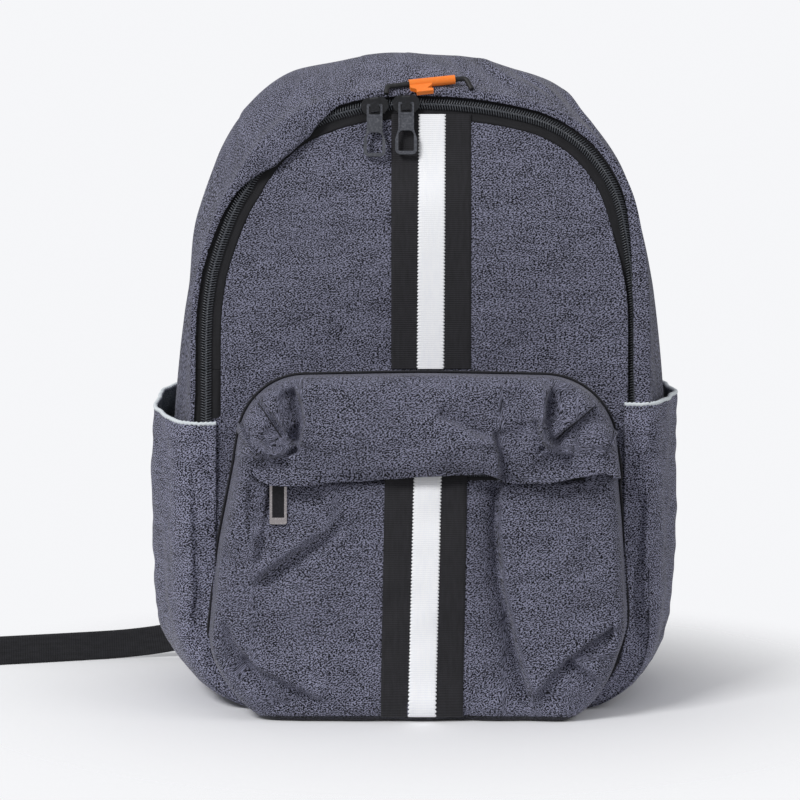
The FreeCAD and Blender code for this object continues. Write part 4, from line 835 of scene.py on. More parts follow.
# %% Coil bars and tapes
PITCH = 1.62  # of the main zip, along one row
BAR_SIZE, BAR_LIFT = 0.76, 0.1  # its bars' share of BAR_PATH, and how far forward they lie
BAR_SIDES = 6
BAR_PATH = np.array([(-1.1, 4.1, -0.9), (-1.05, 4.2, 0.3), (-0.8, 3.4, 1.0),
                     (-0.2, 1.6, 1.25), (0.3, 0.0, 1.25), (0.5, -0.75, 0.85),
                     (0.52, -0.85, -0.5)])
BAR_RADII = np.array([0.36, 0.40, 0.42, 0.42, 0.52, 0.55, 0.45])


def coil_bar(scale, side):
    """One bar: rings of points round a bent path in (along, outward, forward), each ring
    set by the path's direction and by two directions square to it."""
    path = BAR_PATH * scale * np.array([1.0, side, 1.0])
    ahead = unit(np.gradient(path, axis=0))
    first = unit(np.cross(ahead, np.array([1.0, 0.0, 0.0])))
    second = np.cross(ahead, first)
    angle = np.arange(BAR_SIDES) * 2 * np.pi / BAR_SIDES
    ring = (np.cos(angle)[None, :, None] * first[:, None]
            + np.sin(angle)[None, :, None] * second[:, None])
    return (path[:, None] + ring * (BAR_RADII * scale)[:, None, None]).reshape(-1, 3)


def aside(line):
    """The direction outward from a line in the front's plane, at each of its points: the
    line's own direction, turned a quarter to the right."""
    way = unit(np.gradient(line, axis=0))
    return np.stack([way[:, 1], -way[:, 0]], -1)


def coil_row(name, line, side, pitch=PITCH, scale=BAR_SIZE, lift=BAR_LIFT):
    """A row of bars along a line in the front's plane, half a pitch on from the other row.
    """
    count = int(run_of(line)[-1] / pitch)
    fine = resample(line, 4 * count + 1)
    picked = slice(1 + (side > 0) * 2, None, 4)
    centre, out = fine[picked][:count], aside(fine)[picked][:count]
    way = np.stack([-out[:, 1], out[:, 0]], -1)
    bar = coil_bar(scale, side)
    flat = (centre[:, None] + way[:, None] * bar[None, :, :1]
            + out[:, None] * bar[None, :, 1:2])
    points = on_front(flat[..., 0], flat[..., 1], bar[None, :, 2] + lift)
    rings = len(BAR_PATH)
    spot = np.arange(rings * BAR_SIDES).reshape(rings, BAR_SIDES)
    turn = np.roll(spot, -1, 1)
    quads = np.stack([spot[:-1], spot[1:], turn[1:], turn[:-1]], -1).reshape(-1, 4)
    ends = np.array([[0, 1, 2, 3], [0, 3, 4, 5]])
    quads = np.concatenate([quads, ends, spot[-1, 0] + ends[:, ::-1]])
    if side < 0:
        quads = quads[:, ::-1]
    faces = (quads[None] + (np.arange(count) * spot.size)[:, None, None]).reshape(-1, 4)
    mesh = bpy.data.meshes.new(name)
    mesh.from_pydata((points.reshape(-1, 3) * MM).tolist(), [], faces.tolist())
    mesh.polygons.foreach_set("use_smooth", np.ones(len(faces), bool))
    mesh.materials.append(COIL_GLINT_PAINTED)
    print(name, count, "bars")
    return put(name, mesh)


def tape(name, line, inner, outer, lift, thick=0.7):
    """A band beside a line, from one distance outward to another, just under the cloth. Its
    section sags by half a sine between its edges."""
    share = np.linspace(inner, outer, 7)
    flat = line[:, None] + aside(line)[:, None] * share[None, :, None]
    curve = lift - 0.3 * np.sin(np.linspace(0, np.pi, 7))
    points = on_front(flat[..., 0], flat[..., 1], curve[None])
    cloth = np.stack(np.broadcast_arrays(share[None], run_of(line)[:, None]), -1)
    return sheet(name, points, [TAPE], cloth, wall=thick, flip=outer < inner)


# %% The main zip
TAPE_IN, TAPE_OUT = -9.1, 9.6  # from the zip line to the sewn edges of its two tapes
ENDS_UP = (177, 212.1)  # the closed stretch of the zip below the fold
zip_line = over("zip", 0.0, FOLD_UP, 900)
zip_line = np.stack(sink(zip_line[:, 0], zip_line[:, 1]), -1)
rows = [(coil_row("coil_flap", zip_line, -1), "front_flap", ["zip_coil_flap"]),
        (coil_row("coil_gusset", zip_line, 1), "pack", ["zip_coil_gusset"]),
        (tape("tape_flap", zip_line, -0.7, TAPE_IN, -1.0), "front_flap", ["zip_tape_flap"]),
        (tape("tape_gusset", zip_line, 0.7, TAPE_OUT, -1.0), "pack", ["zip_tape_gusset"])]
for side, name in SIDES[::-1]:
    up = np.linspace(*ENDS_UP, 60)[::side]
    line = np.stack(sink(np.full(60, ARCHES["zip"][0] * float(side)), up), -1)
    rows += [(coil_row(f"coil_end_{name}_inner", line, -1), "pack", []),
             (coil_row(f"coil_end_{name}_outer", line, 1), "pack", []),
             (tape(f"tape_end_{name}", line, TAPE_IN, TAPE_OUT, -1.05), "pack",
              ["zip_ends"])]
for piece, body, nodes in rows:
    settle(piece, body, "zip_coil" if piece.name.startswith("coil") else "zip_tape", *nodes)

# %% [markdown]
# The whole front is one cloth, from the foot to the crown, and it folds where the zip ends.
# Above the fold four edges bound it: the fold, two legs and the crown. Its inside is filled
# by blending opposite edges (a Coons patch), which gives an even grid with no pole. Rows
# below go on down behind the pocket.

# %% Panels from four edges
def patch(low, high, left, right):
    """Coons patch: the two blends of opposite edges, less the blend of the four corners."""
    a = np.linspace(0, 1, len(low))[:, None, None]
    b = np.linspace(0, 1, len(left))[None, :, None]
    across = (1 - b) * low[:, None] + b * high[:, None]
    along = (1 - a) * left[None] + a * right[None]
    corners = ((1 - a) * (1 - b) * low[0] + a * (1 - b) * low[-1]
               + (1 - a) * b * high[0] + a * b * high[-1])
    return across + along - corners


def arch_patch(line, columns, rows):
    """Splits an open arch (right end to left end) at its shoulders, where it turns past
    52 degrees, and fills it."""
    line = line[::-1]
    heading = np.degrees(np.arctan2(*np.gradient(line, axis=0).T[::-1]))
    left_end = int(np.argmax(heading < 52))
    right_end = len(line) - 1 - int(np.argmax(heading[::-1] > -52))
    left = resample(line[:left_end + 1], rows)
    high = resample(line[left_end:right_end + 1], columns)
    right = resample(line[right_end:][::-1], rows)
    low = np.linspace(line[0], line[-1], columns)
    return patch(low, high, left, right)


# %% Front cloth
def over_zip(across, up):
    """On the right leg the flap's edge has swung out over the zip and stands off it: both
    moves grow by smooth steps across and up."""
    share = ease((across - 66) / 58) * ease((318 - up) / 70) * ease((up - 150) / 30)
    return 5.2 * share, 3.4 * ease((across - 112) / 10) * share


COLUMNS = 190  # points across the front
flap = arch_patch(over("zip", FLAP_EDGE, FOLD_UP, 700), COLUMNS, 130)
rise = np.linspace(0.6, 210.6, 112)
half_arch = arch("zip", 9.4)
half_arch = half_arch[:len(half_arch) // 2 + 1]
wide = np.interp(rise, half_arch[:, 1], half_arch[:, 0])
wide = wide - (wide - 124.8) * ease((rise - 178) / 5)
spread = np.linspace(-1, 1, COLUMNS)
panel = np.stack(np.broadcast_arrays(spread[:, None] * wide[None], rise[None]), -1)
calm = ease((1 - np.abs(spread)) / 0.2)[:, None] * ease(panel[..., 1] / 20)
bulge = 1.2 * waves(panel[..., 0], panel[..., 1], 70, 3) * calm
bulge *= ease((211.7 - panel[..., 1]) / 14)
whole = np.concatenate([panel, flap], 1)
forward = np.concatenate([bulge, puff(flap[..., 0], flap[..., 1])], 1)
out, off = over_zip(whole[..., 0], whole[..., 1])
x, v = sink(whole[..., 0], whole[..., 1])
front_cloth = sheet("front_cloth", on_front(x + out, v, forward + off), [SHELL, LINING],
                    whole, wall=SHELL_WALL, lining=1)
start, end = ((on_front(0.0, height, 1.3) * MM).tolist() for height in (204.0, 219.0))
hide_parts("front_flap", "front_panel")
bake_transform(front_cloth)
print("front cloth", whole.shape)

# %% [markdown]
# The front pocket is a soft box of the same cloth. Its outline is a rounded shape that is
# not quite even, as sewing leaves it. Rings run from that outline up the wall, over a
# rounded edge and in to a line at its middle, so no grid line ends in a point. The folds of
# a half-empty pocket are then pressed into its face: each is a step across a line.

# %% Pocket outline and folds
POCKET_DEPTH, POCKET_EDGE, POCKET_WALL = 42, 11, 1.9  # depth, edge radius, cloth
POCKET_MIDDLE, POCKET_HALF = 104, 102.0  # height of its middle and half its height
SAG = 5.5  # how far its foot has sunk to the floor
POCKET_OUTLINE = (  # across, up, corner radius
    (0, 2, 0), (-137, 1.5, 46), (-126, 104, 160), (-115.5, 158, 90), (-109, 204.5, 40),
    (0, 206.5, 900), (118, 204.5, 44), (126, 120, 500), (130, 52, 60), (112, 1.5, 40),
    (0, 2, 0))
HOOD_OUTLINE = (
    (125.5, 146, 0), (122.5, 170, 120), (115, 208.5, 46), (0, 210.5, 1200),
    (-108, 208.5, 42), (-112.5, 178, 200), (-115.5, 160, 0))
POCKET_FOLDS = (
    # line (across, up); right and left heights; how far each side dies away; softness
    (((48, 158), (50, 140), (48.5, 116), (51.5, 80), (55, 68), (63, 33), (72, 4)),
     -13.0, 3.4, 12, 44, 0.8),
    (((26, 150), (29, 100), (36, 52), (44, 10)), 2.2, 1.4, 9, 12, 3.0),
    (((124, 58), (107, 47), (92, 37), (80, 26), (70, 12)), 3.0, -5.6, 24, 9, 0.5),
    (((92, 38), (101, 31), (112, 21)), -4.6, 3.4, 8, 12, 0.5),
    (((-106, 80), (-94, 90), (-76, 102), (-58, 114), (-48, 128)), -8.4, 4.6, 11, 24, 2.6),
    (((-66, 142), (-52, 128), (-38, 112)), 3.6, -3.2, 14, 10, 2.6),
    (((-122, 62), (-116, 46), (-104, 32), (-78, 19), (-56, 10)), -4.6, 6.0, 8, 20, 1.0),
    (((-110, 40), (-98, 24), (-84, 9)), -4.2, 3.2, 7, 8, 1.0),
    (((-95, 146), (-99, 122), (-104, 92)), 4.6, -4.6, 18, 8, 1.8),
    (((84, 140), (90, 124), (108, 114)), 2.6, -2.4, 14, 10, 3.0),
    (((74, 96), (94, 88), (118, 92)), 2.0, -2.2, 14, 10, 3.0),
    (((62, 128), (84, 132), (104, 142)), 2.0, -2.0, 10, 8, 2.6),
)
POCKET_LAPS = (  # fold, and how far its proud side leans over the other: across, up
    (0, -1.0, 0.0), (2, 0.5, -0.7), (3, -0.5, -0.5))


def lapped(across, up, folds, laps):
    """Leans the proud side of some folds over the side that dips, so that the cloth laps
    itself: points near the line move, and the move dies away in 6 mm."""
    shift = [0 * across, 0 * up]
    for number, by_across, by_up in laps:
        line, right, left, _, _, soft = folds[number]
        gap, along = near_line(across, up, line)
        gap = gap if right > left else -gap
        share = (ease(along / 0.12) * ease((1 - along) / 0.12)
                 * (0.5 + 0.5 * np.tanh(gap / soft)) * np.exp(-np.abs(gap) / 6))
        shift[0], shift[1] = shift[0] + by_across * share, shift[1] + by_up * share
    return across + shift[0], up + shift[1]


RASTER_HALF, RASTER_LOW, RASTER_HIGH = 142.0, -6.0, 216.0  # across, and lowest and highest


def laid_out(across, up, height):
    """Cloth coordinates over a height field: the field is drawn on a 1 mm raster, its arc
    length is summed along every row and column from the pocket's middle, and each point
    reads both sums there, weighted between its four neighbours."""
    a = np.arange(-RASTER_HALF, RASTER_HALF + 1)
    b = np.arange(RASTER_LOW, RASTER_HIGH + 1)
    field = height(*np.broadcast_arrays(a[:, None], b[None]))
    runs = []
    for axis, middle in enumerate((RASTER_HALF, POCKET_MIDDLE - RASTER_LOW)):
        step = np.hypot(1.0, np.diff(field, axis=axis))
        first = np.zeros_like(field.take([0], axis))
        total = np.concatenate([first, np.cumsum(step, axis)], axis)
        runs.append(total - total.take([int(middle)], axis))
    i = np.clip(across + RASTER_HALF, 0, len(a) - 1.001)
    j = np.clip(up - RASTER_LOW, 0, len(b) - 1.001)
    i0, j0 = i.astype(int), j.astype(int)
    s, t = i - i0, j - j0
    return [(1 - s) * ((1 - t) * run[i0, j0] + t * run[i0, j0 + 1])
            + s * ((1 - t) * run[i0 + 1, j0] + t * run[i0 + 1, j0 + 1]) for run in runs]


def pocket_face(across, up):
    """How far the cloth of the pocket stands off its flat face: its slack and the sum of
    its folds, about half of both under the stripe."""
    total = 2.2 * waves(across, up, 66, 21) + 0.7 * waves(across, up, 26, 22)
    for line, *shape in POCKET_FOLDS:
        total = total + fold(across, up, line, *shape, 0.12)
    return total * (1 - 0.55 * ease(1 - np.abs(across - 2) / 30))


def wrapped(across, up, height, gap, forward, depth, edge):
    """Cloth coordinates of a soft box: laid out over its face, then carried on down its
    rounded edge (an arc is 1.57 times its radius) and its wall, away from the middle."""
    way = unit(gap)[:, None]
    extra = np.maximum(depth - edge - forward, 0) + 0.57 * np.clip(depth - forward, 0, edge)
    return np.stack(laid_out(across, up, height), -1) + way * extra[..., None]


def rings(outline, spine, depth, edge, walls, faces):
    """Rings from the outline at the foot of the wall, up it and over its rounded edge, then
    in to the spine. Gives across, up, forward and each ring's share of the face."""
    gap = outline - spine
    span = np.linalg.norm(gap, axis=-1, keepdims=True)
    rise = np.linspace(0.0, depth - edge, walls, endpoint=False)
    angle = np.linspace(0, np.pi / 2, 12, endpoint=False)
    inset = np.concatenate([0 * rise, edge * (1 - np.cos(angle))])
    lift = np.concatenate([rise, depth - edge + edge * np.sin(angle)])
    share = 1 - np.linspace(0, 1, faces) ** 0.9
    rim = 1 - inset[None, :] / span
    inner = (1 - edge / span) * share[None, :]
    scale = np.concatenate([rim, inner], 1)
    forward = np.concatenate([lift, np.full(faces, float(depth))])
    place = spine[:, None] + gap[:, None] * scale[..., None]
    return place[..., 0], place[..., 1], np.broadcast_to(forward, scale.shape), scale


# %% Front pocket
def clear_of_zip(across, up, forward):
    """Holds the pocket's face down along its zip, where the slider and its pull travel: no
    point there stands higher than the pull's own path."""
    track = ease((110 - np.abs(across)) / 4) * ease((156 - up) / 3)
    forward = forward - track * ease((up - 112) / 5) * np.maximum(forward - 44.3, 0)
    zip_band = ease((106 - np.abs(across)) / 4) * ease((up - 143.5) / 3)
    return forward - track * zip_band * np.maximum(forward - 41.2, 0)


def tapered(across, up, forward, full_at, above):
    """Draws a soft box in by up to 3.4% as it rises to its face: its width everywhere and
    its height above a line."""
    taper = 1 - 0.034 * ease(forward / full_at)
    return across * taper, np.where(up > above, above + (up - above) * taper, up)


outline = resample(bent(POCKET_OUTLINE, 16), 531)[:-1]
spine = np.stack([np.clip(outline[:, 0] * 0.62, -62, 62),
                  np.full(len(outline), float(POCKET_MIDDLE))], -1)
across, up, forward, share = rings(outline, spine, POCKET_DEPTH, POCKET_EDGE, 12, 66)
crown = 2.4 * ease((1 - share) / 0.75)
height = np.clip((forward - 8) / 34, 0, 1)
forward = forward + height * (crown + pocket_face(across, up) * ease((1.02 - share) / 0.14)
                              + 1.6 * waves(across, up, 46, 31) * (share > 0.9))
forward = clear_of_zip(across, up, forward)
across, up = tapered(across, up, forward, 34, POCKET_MIDDLE)
sag = ease((20 - up) / 24) * ease((forward - 4) / 26)
up = np.maximum(up - SAG * sag, 0.6 - forward * math.tan(LEAN))
leaned = lapped(across, up, POCKET_FOLDS, POCKET_LAPS)
points = on_front(*[np.where(share < 0.97, b, a) for a, b in zip((across, up), leaned)],
                  np.maximum(forward, 0.2))
cloth = wrapped(across, up, pocket_face, outline - spine, forward, POCKET_DEPTH,
                POCKET_EDGE)
# Cells of the pocket within 3.2 mm of the floor take the darker base cloth, so its foot is
# dark along the floor.
low = points[..., 2] < 3.2
cells = ((low[:, :-1] & np.roll(low, -1, 0)[:, :-1]) * 2).astype(int)
pocket = sheet("front_pocket_cloth", points, [SHELL, SHELL, BASE], cloth, around=True,
               wall=POCKET_WALL, flip=True, pick=cells)
weld(pocket, 1e-5)
settle(pocket, "pack", "shell_fabric", "front_pocket")
print("front pocket", points.shape, "forward to", forward.max().round(1))

# %% [markdown]
# Where the pocket and its hood are sewn to the front, the groove of the seam lies in shade.
# A thin dark tube along the seam's line is that painted shade, and the same tube, thinner,
# later marks the two darts of the hood.

# %% Painted seam shade round the pocket and the hood
def seam_tube(name, route, lift, radius, sides, pace):
    """A thin tube along a line on the front: circles of a radius stand square to the line
    at a height, and pace is how far its weave runs on from one circle to the next."""
    turn = np.linspace(0, 2 * np.pi, sides)
    flat = route[:, None] + aside(route)[:, None] * radius * np.cos(turn)[None, :, None]
    tube = on_front(flat[..., 0], flat[..., 1], lift + radius * np.sin(turn)[None])
    cloth = np.stack(np.broadcast_arrays(turn[None], np.arange(len(tube))[:, None] * pace),
                     -1)
    made = sheet(name, tube, [DARK_SEAM_AND_SHADE], cloth)
    close_ends(made, len(tube), sides)
    settle(made, "pack", "black_webbing")


half = len(outline) // 2
legs = [part[(part[:, 1] > 8) & (part[:, 1] < top)]
        for part, top in ((outline[:half], 156), (outline[half:], 142))]
seam_line = resample(np.concatenate([legs[0], bent(HOOD_OUTLINE, 18)[::-1], legs[1]]), 420)
seam_line += unit(seam_line - np.array([0.0, POCKET_MIDDLE]))
# This tube is painted shade: it darkens the groove where the pocket and the hood are sewn
# on.
seam_tube("pocket_seam_shade_tube", seam_line, 1.2, 0.85, 11, 1.4)

# %% [markdown]
# The hood is a visor of cloth sewn along the same outline. It covers the pocket's zip from
# above and from both sides, and ends below in a turned hem that no longer runs straight.
# At each corner a dart takes in the extra cloth, and beside it the cloth has buckled.

# %% Hood
HOOD_DEPTH, HOOD_EDGE = 52.5, 15.0
HOOD_POINTS, HOOD_FACE_RINGS = 430, 44
HOOD_HEM = (  # share along the outline, across, up
    (0.0, 120.5, 147.5), (0.05, 114, 148.6), (0.12, 98, 146.4), (0.2, 78, 142.4),
    (0.3, 58, 142.8), (0.35, 48, 145.6), (0.39, 40, 148.6), (0.46, 22, 147.6),
    (0.55, 0, 146.4), (0.7, -38, 144.2), (0.8, -62, 142.4), (0.9, -84, 141.4),
    (0.96, -94, 141.8), (1.0, -99.5, 144.5))
HOOD_FOLDS = (  # as the pocket's
    (((110, 193), (100, 185), (90, 177), (80, 168)), 4.6, -4.6, 13, 7, 0.5),
    (((82, 204), (78, 194), (77, 182), (80, 170), (86, 164)), 9.5, -7.5, 9, 9, 0.9),
    (((73, 183), (74, 172), (80, 163)), -7.4, 4.6, 7, 9, 0.5),
    (((62, 206), (68, 192), (68, 176), (62, 160)), -4.0, 3.0, 9, 16, 2.6),
    (((-103, 197), (-92, 185), (-82, 171)), -4.2, 5.0, 6, 9, 0.6),
    (((-80, 204), (-75, 192), (-73, 180), (-77, 164)), -12.5, 7.4, 10, 13, 1.3),
    (((74, 167), (84, 161.5), (96, 160.5)), -5.0, 4.0, 7, 7, 0.7),
    (((-77, 166), (-84, 160), (-94, 157)), 4.0, -4.6, 8, 7, 0.8),
    (((-104, 173), (-94, 163), (-82, 160), (-70, 164)), 4.6, -4.0, 9, 8, 1.1),
    (((8, 184), (20, 180), (32, 174), (48, 166)), 4.4, -5.2, 13, 9, 1.8),
    (((45, 176), (48, 162), (50, 143)), 8.0, -5.6, 20, 9, 1.0),
    (((-60, 160), (-20, 158), (20, 163)), 1.6, -1.4, 12, 12, 4.0),
)
HOOD_LAPS = ((2, -1.6, -0.4), (0, 0.6, -0.9), (5, 1.2, 0.0))


def hood_face(across, up):
    """How far the hood's cloth stands off its own even crown."""
    total = 2.0 * waves(across, up * 1.3, 52, 41) + 0.6 * waves(across, up, 22, 42)
    for line, *shape in HOOD_FOLDS:
        total = total + fold(across, up, line, *shape, 0.15)
    return total


outline = resample(bent(HOOD_OUTLINE, 18), HOOD_POINTS)
hem, at = np.array(HOOD_HEM), np.linspace(0, 1, HOOD_POINTS)
spine = np.stack([np.interp(at, hem[:, 0], hem[:, k]) for k in (1, 2)], -1)
spine = spine + np.stack([0 * at, 0.5 * waves(at * 240, 0, 30, 43)], -1)
gap = outline - spine
span = np.linalg.norm(gap, axis=-1, keepdims=True)
edge = np.minimum(HOOD_EDGE, 0.8 * span)
wall_share, turn = np.linspace(0, 1, 12, endpoint=False), np.linspace(0, np.pi / 2, 14)[:-1]
inset = np.concatenate([0 * wall_share + 0 * edge, edge * (1 - np.cos(turn))], 1)
lift = np.concatenate([0.2 + (HOOD_DEPTH - edge - 0.2) * wall_share,
                       HOOD_DEPTH - edge + edge * np.sin(turn)], 1)
inner = (1 - edge / span) * (1 - np.linspace(0, 1, HOOD_FACE_RINGS))[None]
share = np.concatenate([1 - inset / span, inner], 1)
across = spine[:, :1] + gap[:, :1] * share
up = spine[:, 1:] + gap[:, 1:] * share
forward = np.concatenate([lift, np.full((HOOD_POINTS, HOOD_FACE_RINGS), HOOD_DEPTH)], 1)
body = ease((forward - 12) / 34) * ease(span / 30)
near_hem = ease((up - spine[:, 1:]) / 26)
forward += body * (2.6 * ease((1 - share) / 0.5) * near_hem + hood_face(across, up))

# %% The hood's hem
flare = ease((np.abs(across) - 62) / 10)  # towards both ends, clear of the zip's pull
tuck = 1 - ease(np.hypot(across - spine[:, :1], up - spine[:, 1:]) / 7)
forward -= (3.0 - 5.5 * flare) * ease((forward - 12) / 34) * tuck
stand = flare * ease((153 - up) / 6) * ease((106 - np.abs(across)) / 5) * body
forward += stand * np.maximum(54.4 - forward, 0)
across, up = tapered(across, up, forward, 40, 160)
cloth = wrapped(across, up, hood_face, gap, forward, HOOD_DEPTH, HOOD_EDGE)
leaned = lapped(across, up, HOOD_FOLDS, HOOD_LAPS)
across, up = (np.where(share < 0.97, b, a) for a, b in zip((across, up), leaned))
hood = sheet("hood_cloth", on_front(across, up, np.maximum(forward, 0.25)),
             [SHELL], cloth, wall=1.8)
settle(hood, "pack", "shell_fabric", "pocket_hood")
print("hood", across.shape, "forward to", forward.max().round(1))


# %% Seams of the hood's darts
def dart_seam(name, line, across, up, forward):
    """A thin dark seam lying in the cloth: its height at each point is that of the nearest
    point of the cloth, averaged over five."""
    route = resample(line, 44)
    near = np.hypot(route[:, :1] - across.ravel()[None],
                    route[:, 1:] - up.ravel()[None]).argmin(1)
    lift = np.convolve(np.pad(forward.ravel()[near], 2, "edge"), np.ones(5) / 5, "valid")
    seam_tube(name, route, lift[:, None], 0.42, 9, 1.0)


above_wall = [part[:, 10:] for part in (across, up, forward)]
dart_seam("dart_seam_right", ((110, 193), (100, 185), (90, 177), (82, 169)), *above_wall)
dart_seam("dart_seam_left", ((-103, 197), (-95, 187), (-84, 171)), *above_wall)

# %% [markdown]
# Down the middle runs a broad black tape with a narrow white one on it. They are sewn flat
# to the flap and to the pocket, so they take the same heights as the cloth beneath. The
# white tape is woven with small scallops along both selvedges.

# %% Stripes
SCALLOP = 2.05  # millimetres from one scallop of the white tape to the next


def stripe(name, middle, width, low, high, under, lift, finish, scallop, lean, where,
           rows=420):
    """A band along the pack's height over a height field, its two edges scalloped by a
    rectified sine; lean moves its lower end sideways."""
    rise = np.linspace(low, high, rows)
    share = np.linspace(-1, 1, 25 if width > 30 else 15)
    edge = width / 2 + scallop * (np.abs(np.sin(rise * np.pi / SCALLOP)) - 0.5)
    centre = middle + lean * (1 - (rise - low) / (high - low))
    across = centre[:, None] + share[None] * edge[:, None]
    up = np.broadcast_to(rise[:, None], across.shape)
    forward = under(across, up) + lift - 0.35 * np.abs(share)[None] ** 6
    cloth = np.stack([share[None] * edge[:, None], up], -1)
    return sheet(name, on_front(*where(across, up), forward), [finish], cloth, wall=0.8,
                 flip=True)


def crown_height(across, up):
    """The front pocket's own height at a place on its face: depth, crown and folds, less
    the drop of its rounded edge."""
    share = np.clip(np.maximum(np.abs(up - POCKET_MIDDLE) / POCKET_HALF, 1e-3), 0, 1)
    face = POCKET_DEPTH + 2.4 * ease((1 - share) / 0.75)
    face = face + pocket_face(across, up) * ease((1.02 - share) / 0.14)
    drop = np.clip(share * POCKET_HALF - (POCKET_HALF - POCKET_EDGE), 0, POCKET_EDGE)
    return face - (POCKET_EDGE - np.sqrt(np.maximum(POCKET_EDGE ** 2 - drop ** 2, 0)))


def sag_down(across, up):
    """The pocket's foot has sunk to the floor, and its stripe with it."""
    return across, up - SAG * ease((20 - up) / 24)


ON_FLAP, ON_POCKET = (212.9, 372.5, puff), (4.5, 148, crown_height)
for name, at, wide, span, lift, finish, scallop, lean, body, where in (
        ("black_upper", 7, 50, ON_FLAP, 0.75, STRIPE_BLACK, 0, 0, "front_flap", sink),
        ("white_upper", 7.6, 16.4, ON_FLAP, 1.45, STRIPE_WHITE, 1, -1, "front_flap", sink),
        ("black_lower", 3.5, 50, ON_POCKET, 0.75, STRIPE_BLACK, 0, -2.5, "pack", sag_down),
        ("white_lower", 4.5, 16.4, ON_POCKET, 1.45, STRIPE_WHITE, 1, -3.4, "pack",
         sag_down)):
    band = stripe("stripe_" + name, at, wide, *span, lift, finish, scallop, lean, where)
    shade, part = name.split("_")
    settle(band, body, shade + "_webbing", f"stripe_{part}_{shade}")
    print(band.name, "from", span[0], "to", span[1], "mm")

# %% [markdown]
# Each side pocket is a sleeve of the same cloth, wide at the front corner and sewn in at
# the back. Its plan is carried from the rim, which slopes up to the back, down to the foot,
# where a short table draws it in. A pale tape binds the rim; it is slightly gathered,
# because it is elastic.

# %% Side pockets
SEAM_AT, SEAM_FOOT = 127.5, 47.7  # half width of the front seam, and its foot's radius
PLAN = resample(bent(((SEAM_AT, -82.0, 0), (151, -82.0, 20), (172, -31, 60),
                      (172, 25, 90), (152.2, 75, 0)), 14), 150)  # across, back
PLAN_WIDE = 172 - SEAM_AT
RIM_RISE = {-1: (3.5, 1.0, 0.0), 1: (16.0, 8.0, 0.0)}  # extra height: front, middle, rear
REACH = {  # height, half width: how far each side pocket stands out
    -1: ((0, 118), (3, 129), (8, 141), (14, 148.5), (24, 157.5), (36, 164.5), (50, 169.5),
         (70, 171.5), (100, 172), (190, 172)),
    1: ((0, 116), (3, 127), (8, 138), (14, 145), (24, 152.5), (36, 158.5), (52, 163.5),
        (75, 165.5), (110, 166), (200, 165)),
}


def foot_reach(height, side):
    """Half width of a side pocket at a height, rounded at the foot."""
    table = np.array(REACH[side])
    return np.interp(height, table[:, 0], table[:, 1])


def seam_at(height):
    """Where the front seam of a side pocket lies: upright, then in round the bag's foot on
    a quarter circle."""
    low = np.clip(SEAM_FOOT - height, 0, SEAM_FOOT)
    return np.minimum(SEAM_AT, 80 + np.sqrt(np.maximum(SEAM_FOOT ** 2 - low ** 2, 0)))


SIDE_FOLDS = (  # line (along the plan, up); heights of its two sides; how each dies away
    (((16, 150), (14, 110), (13, 70), (19, 34)), -3.4, 2.4, 6, 14),
    (((34, 160), (40, 120), (36, 84)), 1.3, -1.2, 14, 9),
    (((8, 60), (26, 48), (52, 44)), 1.2, -1.0, 12, 8))


def side_grid(side, heights):
    """Points (along the plan, up) of a side pocket: the plan is drawn in towards the front
    seam where the foot narrows, its front follows the leaning front, and slack and folds
    push it outwards. The right rim's front corner stands a little forward."""
    wide, back = PLAN[:, :1], PLAN[:, 1:]
    top = 175 + (back + 80) * math.tan(math.radians(10))
    top = top + np.interp(back, (-82, 0, 75), RIM_RISE[side])
    share = heights[None, :]
    z = 2.7 + (top - 2.7) * share
    seam, reach = seam_at(z), foot_reach(z, side)
    x = seam + (wide - SEAM_AT) * np.maximum(reach - seam, 1) / PLAN_WIDE
    front = ease((-40 - back) / 40)
    y = back + z * math.tan(LEAN) * front
    run = run_of(PLAN)[:, None]
    held = ease(run / 10) * ease((run.max() - run) / 12) * ease(share / 0.08)
    push = held * (1.5 * waves(run, z * 0.6, 44, 61 + side)
                   + 0.5 * waves(run, z, 18, 71 + side))
    for line, *shape in SIDE_FOLDS:
        push = push + held * fold(run, z, line, *shape, 2.0, 0.25)
    corner = 4.2 * ease((z - 150) / 36) * (side > 0) * ease((60 - run) / 40)
    y = y - (push + corner) * front
    x = x + push * (1 - front)
    cloth = np.stack([np.broadcast_to(run, z.shape) * side, z], -1)
    return np.stack([x * side, y, z], -1), cloth


RIM_POINTS, HEM_DEEP = 420, 36  # points along the rim; from the rim down to its stitching
for side, name in SIDES:
    heights = np.concatenate([[0.0], np.linspace(0.012, 1, 128)])
    points, cloth = side_grid(side, heights)
    stitched = np.exp(-((points[..., 2] - (points[:, -1:, 2] - HEM_DEEP)) / 0.9) ** 2) * 0.7
    points[..., 1] += stitched * ease((-40 - PLAN[:, 1:]) / 40)
    piece = sheet("side_pocket_cloth_" + name, points, [SIDE, LINING], cloth, wall=1.6,
                  lining=1, flip=side < 0)
    settle(piece, "pack", "shell_fabric", "side_pocket_" + name)
    rim, at = resample(points[:, -1], RIM_POINTS), np.arange(float(RIM_POINTS))
    gather = 0.22 * np.sin(at * 0.9) + 0.15 * waves(at, 0, 16, 81)
    turn = np.linspace(0, 2 * np.pi, 13)
    out = unit(np.cross(unit(np.gradient(rim, axis=0)), np.array([0.0, 0.0, 1.0]))) * side
    section_out, section_up = 1.35 * np.cos(turn) - 0.8, 1.25 * np.sin(turn)
    tube = (rim[:, None] + out[:, None] * section_out[None, :, None]
            + np.array([0, 0, 1.0]) * (section_up[None, :, None] + gather[:, None, None]))
    cloth = np.stack(np.broadcast_arrays(turn[None] * 1.2, at[:, None] * 0.5), -1)
    binding = sheet("rim_binding_tape_" + name, tube, [BINDING], cloth, flip=side < 0)
    close_ends(binding, *tube.shape[:2])
    settle(binding, "pack", "rim_binding", "rim_binding_" + name)
    print(piece.name, points.shape, binding.name, tube.shape)

